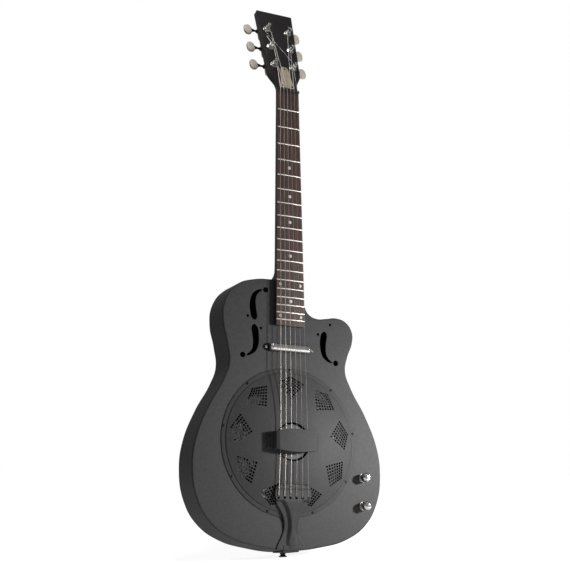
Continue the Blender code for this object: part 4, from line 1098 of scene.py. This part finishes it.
def make_nut():
    """The black nut with a slot for each string, its face falling towards the posts."""
    rings = []
    top = FRET_PLANE_Y - 1.5
    bottom = NUT_HIGH.y
    slots = list(zip(six_across(SPREAD_NUT), STRING_RADII))
    stations = {NUT_LOW.x, NUT_LOW.x + 0.4, NUT_HIGH.x - 0.4, NUT_HIGH.x}
    for x, radius in slots:
        stations |= {x + side * (radius + 0.08) for side in (-1.0, 1.0)}
        stations |= {x + side * (radius + 0.22) for side in (-1.0, 1.0)}
    for x in sorted(stations):
        slotted = any(abs(x - s) < r + 0.1 for s, r in slots)
        ended = min(x - NUT_LOW.x, NUT_HIGH.x - x) < 0.1
        crest = FRET_PLANE_Y - 0.75 if slotted else top + (0.4 if ended else 0.0)
        fall = crest + (0.5 if slotted else 1.0)
        section = [(NUT_LOW.z, bottom), (NUT_LOW.z, crest + 0.3), (NUT_LOW.z + 0.3, crest),
                   (NUT_LOW.z + 2.6, crest + 0.1), (NUT_HIGH.z - 0.4, fall), (NUT_HIGH.z, fall + 0.5),
                   (NUT_HIGH.z, bottom)]
        rings.append([(x, y, z) for z, y in section])
    place("nut_slotted", [loft(rings)], PLASTIC, replaces=("nut",))


def make_truss_cover():
    """The bell-shaped cover on the headstock, with three screws."""
    half = [(15.0, 9.0), (14.6, 12.5), (13.4, 17.4), (11.8, 25.0), (10.4, 33.7), (9.4, 42.3), (8.6, 50.0),
            (7.2, 54.8), (5.0, 57.5)]
    outline = [(-x, s) for x, s in half] + [(x, s) for x, s in reversed(half)]
    plate = sheet(outline, [], lambda x, s: GAP + 1.4, 1.4, edge=0.5)
    place("truss_cover_plate", [moved(plate, HEAD)], SATIN_NICKEL, replaces=("truss_rod_cover",))
    for name, x, s in (("top", 0.0, 52.8), ("bass", -9.8, 13.0), ("treble", 9.8, 13.0)):
        at = HEAD @ Matrix.Translation((x, -GAP - 1.35, s)) @ Matrix.Rotation(x, 4, "Y")
        place(f"truss_cover_screw_{name}", screw(1.9, 1.0), BLACKENED, matrix=at)


# ---- pickup, knobs and jack ----
def make_pickup():
    """The chrome tube with its end caps, the black base and two spring screws."""
    low, high = box_mm("pickup_tube")
    radius = (high.z - low.z) / 2.0
    half = high.x
    axis_y = low.y + radius
    end = fillet([(0.0, half), (radius * 0.62, half), (radius, half - 4.0), (radius, half - 9.0)], 3.4, 7)
    near = end + [(radius - 0.25, half - 9.15), (radius - 0.25, half - 9.45), (radius, half - 9.6)]
    profile = near + [(r, -h) for r, h in reversed(end)]
    lie = Matrix.Translation((0.0, axis_y, PICKUP_Z)) @ Matrix.Rotation(math.pi / 2, 4, "Y")
    place("pickup_can", [moved(lathe(profile, 56), lie)], CHROME, replaces=("pickup_tube",))
    low, high = box_mm("pickup_base")
    half = high.x
    side = [(-half, -2.2), (-half + 2.2, -3.9), (-half + 7.0, -4.2), (-half + 10.5, -7.0)]
    side += [(-x, z) for x, z in reversed(side)]
    outline = fillet(side + [(x, -z) for x, z in reversed(side)], 2.2, 4, closed=True)
    base = sheet(outline, [], lambda x, z: -low.y, high.y - low.y, edge=0.5)
    cradle = block((-40.5, -6.4, low.y - 2.6), (40.5, 6.4, low.y + 0.3), 1.2)
    cradle = moved(cradle, Matrix(((1, 0, 0, 0), (0, 0, 1, 0), (0, -1, 0, 0), (0, 0, 0, 1))))
    place("pickup_surround", [moved(base, Matrix.Translation((0.0, 0.0, PICKUP_Z))),
                              moved(cradle, Matrix.Translation((0.0, 0.0, PICKUP_Z)))],
          PLASTIC, replaces=("pickup_base",))
    for side in ("bass", "treble"):
        node = f"pickup_screw_{side}"
        at = Matrix.Translation((middle_of(node).x, low.y - 0.9, PICKUP_Z)) @ Matrix.Rotation(0.5, 4, "Y")
        place(f"pickup_fixing_{side}", screw(2.4, 1.9, 6.0), NICKEL, matrix=at, replaces=(node,))


LOCK_NUT_HALF = 5.6


def make_controls():
    """A fluted, domed knob over a nut and washer, on each shaft."""
    for prefix in ("volume", "tone"):
        low, high = box_mm(f"{prefix}_knob")
        centre = middle_of(f"{prefix}_knob")
        foot, top, radius = -high.y, -low.y, (high.x - low.x) / 2.0
        side = [(radius - 0.5, foot), (radius, foot + 0.5), (radius, foot + 1.4),
                (radius - 0.25, foot + 1.7)]
        flutes = [(radius - 0.15, foot + 1.9), (radius - 0.15, foot + 8.6)]
        dome = fillet([(radius - 0.25, foot + 8.8), (radius, foot + 9.1), (radius - 0.2, foot + 10.6),
                       (radius - 2.4, top - 0.9), (radius - 5.0, top - 0.1), (0.0, top)], 2.0, 5)
        profile = [(0.0, foot), *side, *flutes, *dome]
        stand = Matrix.Translation((centre.x, 0.0, centre.z)) @ TO_FRONT
        knob = lathe(profile, 80, flutes=(0.3, foot + 1.8, foot + 8.7))
        place(f"{prefix}_knob_domed", [moved(knob, stand)], CHROME, body=f"{prefix}_control",
              replaces=(f"{prefix}_knob",))
        base = -FRONT_Y
        washer = lathe([(4.9, base), (7.4, base), (7.6, base + 0.2), (7.6, base + 0.7), (7.4, base + 0.9),
                        (4.9, base + 0.9)], 40, ring=True)
        hexagon = sheet(hexagon_loop(LOCK_NUT_HALF / math.cos(math.pi / 6.0)), [circle_loop(0.0, 0.0, 4.8)],
                        lambda x, z: base + 3.1, 2.1, edge=0.3, hole_edge=0.2)
        over_shaft = Matrix.Translation((centre.x, 0.0, centre.z))
        place(f"{prefix}_lock_nut", [moved(washer, stand), moved(hexagon, over_shaft)], PLATED)


# ---- tuners ----
HOUSING_WALL = 1.2
HOUSING_HALF = 7.9
HOUSING_DEPTH = 11.4
POST_RADIUS = 3.1
POST_TOP = 15.5
HOLE_LIFT = 9.1
BUSHING_REACH = 5.9
# each string's cut end past its post: the way it points in degrees, and its length
LOOSE_ENDS = {1: (127.0, 83.0), 2: (150.0, 7.0), 3: (100.0, 6.0),
              4: (60.0, 7.0), 5: (120.0, 15.0), 6: (80.0, 6.0)}


def tuner_place(number):
    """Side (-1 bass, +1 treble), offset from the middle and station of a tuner."""
    side = 1.0 if number <= 3 else -1.0
    row = number - 1 if number <= 3 else 6 - number
    return side, POST_OFFSETS[row], POST_STATIONS[row]


def make_button(number, side):
    """A crowned kidney button on the key's shaft, with a collar."""
    low, high = box_mm(f"tuner_{number}_button")
    middle = (low + high) / 2.0
    start = -8.4
    upper = [(0.0, 3.4), (1.6, 7.4), (4.9, 10.6), (9.2, 11.6), (13.2, 10.0), (16.0, 5.8), (16.8, 0.0)]
    outline = [(side * (start + x), z) for x, z in upper + [(x, -z) for x, z in reversed(upper[:-1])]]
    loop = smooth_loop(outline, resolution=5)
    tilt = Matrix.Translation(middle) @ Matrix.Rotation(math.radians(-HEAD_TILT), 4, "X")
    collar = lathe([(0.0, -1.5), *fillet([(2.6, -1.5), (3.0, 0.0), (3.0, 2.2), (3.6, 3.4)], 0.4), (3.6, 5.0),
                    (0.0, 5.0)], 28)
    turn = Matrix.Translation((side * -10.6, 0.0, 0.0)) @ Matrix.Rotation(side * math.pi / 2, 4, "Y")
    place(f"tuner_{number}_kidney", [moved(pillow(loop, 3.3), tilt)], SATIN_BUTTON,
          body=f"tuner_{number}_key", replaces=(f"tuner_{number}_button",))
    place(f"tuner_{number}_key_collar", [moved(collar, tilt @ turn)], BLACKENED,
          body=f"tuner_{number}_key")


def rounded_square(half_x, low, high, radius):
    """A rounded rectangle outline about x = 0."""
    return fillet([(-half_x, low), (half_x, low), (half_x, high), (-half_x, high)], radius, 4, closed=True)


def make_housing(number, side, centre, station):
    """The cast cover behind the headstock: a hollow box with a round boss, and a collar where the key comes
    out.
    """
    depth = HEAD_THICKNESS + GAP
    low, high, half = -9.0, 15.5, HOUSING_HALF
    back = depth + HOUSING_DEPTH
    outer = [(0.0, depth), (0.0, back - 2.8), (0.6, back - 1.2), (1.8, back - 0.2), (2.6, back)]
    inner = [(HOUSING_WALL + 0.6, back - HOUSING_WALL), (HOUSING_WALL, back - 2.4), (HOUSING_WALL, depth)]
    rings = []
    for inward, y in [*inner, *outer]:
        loop = rounded_square(half - inward, low + inward, high - inward, max(2.6 - inward * 0.6, 0.8))
        rings.append([(x, y, s) for x, s in loop])
    boss = lathe([(0.0, -0.6), (6.0, -0.6), *fillet([(6.2, 0.0), (6.2, 0.9), (5.4, 1.3)], 0.4), (3.2, 1.3),
                  (2.6, 0.8), (0.0, 0.8)], 36)
    boss = moved(boss, Matrix.Translation((0.0, back - 0.4, 0.0)) @ Matrix.Rotation(-math.pi / 2, 4, "X"))
    at = HEAD @ Matrix.Translation((centre, 0.0, station))
    place(f"tuner_{number}_cover", [loft(rings), boss], NICKEL, matrix=at,
          replaces=(f"tuner_{number}_housing",))
    collar = lathe([(2.3, 0.0), (4.0, 0.0), (4.0, 2.0), (3.4, 2.8), (2.3, 2.8)], 28, ring=True)
    turn = at @ Matrix.Translation((side * half, 21.0, 10.0)) @ Matrix.Rotation(side * math.pi / 2, 4, "Y")
    place(f"tuner_{number}_collar", [moved(collar, turn)], BLACKENED)


def make_post(number, centre, station):
    """The string post with its waist and string hole, its gear, and the bushing in the face."""
    profile = [(0.0, POST_TOP), *fillet([(2.5, POST_TOP), (POST_RADIUS, POST_TOP - 0.5), (POST_RADIUS, 12.2),
               (2.5, 10.6), (2.5, 7.4), (POST_RADIUS, 5.2)], 0.5), (POST_RADIUS, -23.6), (0.0, -23.6)]
    post = lathe(profile, 32)
    eyelet = lathe([(0.75, 2.36), (1.3, 2.36), (1.3, 2.66), (0.75, 2.66)], 16, ring=True)
    through_z = [moved(eyelet, Matrix.Translation((0.0, 0.0, HOLE_LIFT))
                       @ Matrix.Rotation(math.radians(a), 4, "X")) for a in (90.0, -90.0)]
    teeth = []
    for step in range(28):
        reach = 6.2 if step % 2 == 0 else 5.1
        teeth.append((reach * math.cos(math.pi * step / 14.0), reach * math.sin(math.pi * step / 14.0)))
    gear = sheet(teeth, [circle_loop(0.0, 0.0, 3.0)], lambda x, z: -19.5, 3.0, edge=0.0, hole_edge=0.0)
    gear = moved(gear, TO_FRONT.inverted())
    axis = HEAD @ Matrix.Translation((centre, 0.0, station)) @ TO_FRONT
    place(f"tuner_{number}_string_post", [moved(s, axis) for s in (post, *through_z, gear)], CHROME,
          body=f"tuner_{number}_winder", replaces=(f"tuner_{number}_post",))
    hexagon = sheet(hexagon_loop(BUSHING_REACH, 0.3 * number), [circle_loop(0.0, 0.0, 3.5)],
                    lambda x, z: 2.6, 1.9, edge=0.4, hole_edge=0.3)
    washer = lathe([(3.5, 0.0), (6.6, 0.0), (6.8, 0.2), (6.8, 0.6), (6.5, 0.8), (3.5, 0.8)], 40, ring=True)
    at = HEAD @ Matrix.Translation((centre, 0.0, station))
    place(f"tuner_{number}_bushing", [moved(hexagon, at), moved(washer, at @ TO_FRONT)], CHROME)


# ---- strings ----
def string_look(number):
    return WOUND_STRING if number >= 4 else STEEL_STRING


def make_string(number):
    """One string from its tailpiece hole to its post, and its turns and loose end on the post."""
    index = 6 - number
    share = index / 5.0 - 0.5
    radius = STRING_RADII[index]
    side, offset, station = tuner_place(number)
    spread = SPREAD_TAIL * share
    height = tailpiece_front(TAIL_HOLE_Z)
    tail = [(spread, -height + 3.0, TAIL_HOLE_Z + 0.4), (spread, -height + 0.6, TAIL_HOLE_Z + 1.2),
            (spread, -height - 0.5 - radius, TAIL_HOLE_Z + 3.0)]
    saddle = (SPREAD_SADDLE * share, SADDLE_LOW.y - GAP - radius, SADDLE_Z)
    nut = (SPREAD_NUT * share, FRET_PLANE_Y - 0.8 - radius, (NUT_LOW.z + NUT_HIGH.z) / 2.0)
    pitch = 2.0 * radius + 0.12
    wound = POST_RADIUS + radius + 0.06
    turn = -side
    first = 0.0 if side < 0 else math.pi
    out_angle, out_length = LOOSE_ENDS[number]
    last = math.radians(out_angle) + math.pi
    turns = (turn * (last - first)) % (2.0 * math.pi) + 2.0 * math.pi * (2 if number >= 4 else 3)
    start_lift = HOLE_LIFT - turns / (2.0 * math.pi) * pitch
    begin = HEAD @ Vector((side * offset + wound * math.cos(first), -start_lift, station))
    line = fillet([*tail, saddle, nut, tuple(begin)], 1.2, 3)
    place(f"string_line_{number}", [tube(line, radius, 8 if number < 4 else 10)], string_look(number),
          replaces=(f"string_{number}",))
    steps = int(turns / (2.0 * math.pi) * 22)
    coil = []
    for step in range(steps + 1):
        angle = first + turn * turns * step / steps
        lift = start_lift + (HOLE_LIFT - start_lift) * step / steps
        coil.append((side * offset + wound * math.cos(angle), -lift, station + wound * math.sin(angle)))
    out = Vector((math.cos(math.radians(out_angle)), math.sin(math.radians(out_angle))))
    centre = Vector((side * offset, station))
    for reach, lift in ((-0.6 * wound, HOLE_LIFT), (0.0, HOLE_LIFT), (wound, HOLE_LIFT),
                        (wound + out_length * 0.5, HOLE_LIFT + 0.6), (wound + out_length, HOLE_LIFT + 0.4)):
        at = centre + out * reach
        coil.append((at.x, -lift, at.y))
    wire = tube(coil, radius, 8)
    # Strings 1 and 5 take the brighter wire copy at the post: painted highlight on the same wire.
    look = HIGHLIGHT_PAINTED_WIRE if number in (1, 5) else string_look(number)
    place(f"string_turns_{number}", [moved(wire, HEAD)], look,
          body=f"tuner_{number}_winder")


def finish_cad_nodes():
    """Give the CAD nodes that stay in view their looks."""
    looks = {"sound_well": ALUMINIUM, "neck_stick": MAPLE, "truss_rod": PLATED, "truss_rod_nut": PLATED,
             "volume_pot": PLATED, "tone_pot": PLATED, "volume_shaft": PLATED, "tone_shaft": PLATED,
             "output_jack": PLATED, "jack_plate": PART_COAT}
    looks.update({f"tuner_{number}_worm_shaft": BLACKENED for number in range(1, 7)})
    for node, look in looks.items():
        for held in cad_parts[node].material_slots:
            held.material = look


make_camera()
make_floor()
make_light()
make_body()
make_cover()
make_cone()
make_bridge()
make_palm_rest()
make_tailpiece()
make_end_pin()
make_neck()
make_headstock_face()
make_fingerboard()
make_nut()
make_truss_cover()
make_pickup()
make_controls()
for tuner in range(1, 7):
    side_of, offset_of, station_of = tuner_place(tuner)
    make_button(tuner, side_of)
    make_housing(tuner, side_of, side_of * offset_of, station_of)
    make_post(tuner, side_of * offset_of, station_of)
    make_string(tuner)
finish_cad_nodes()
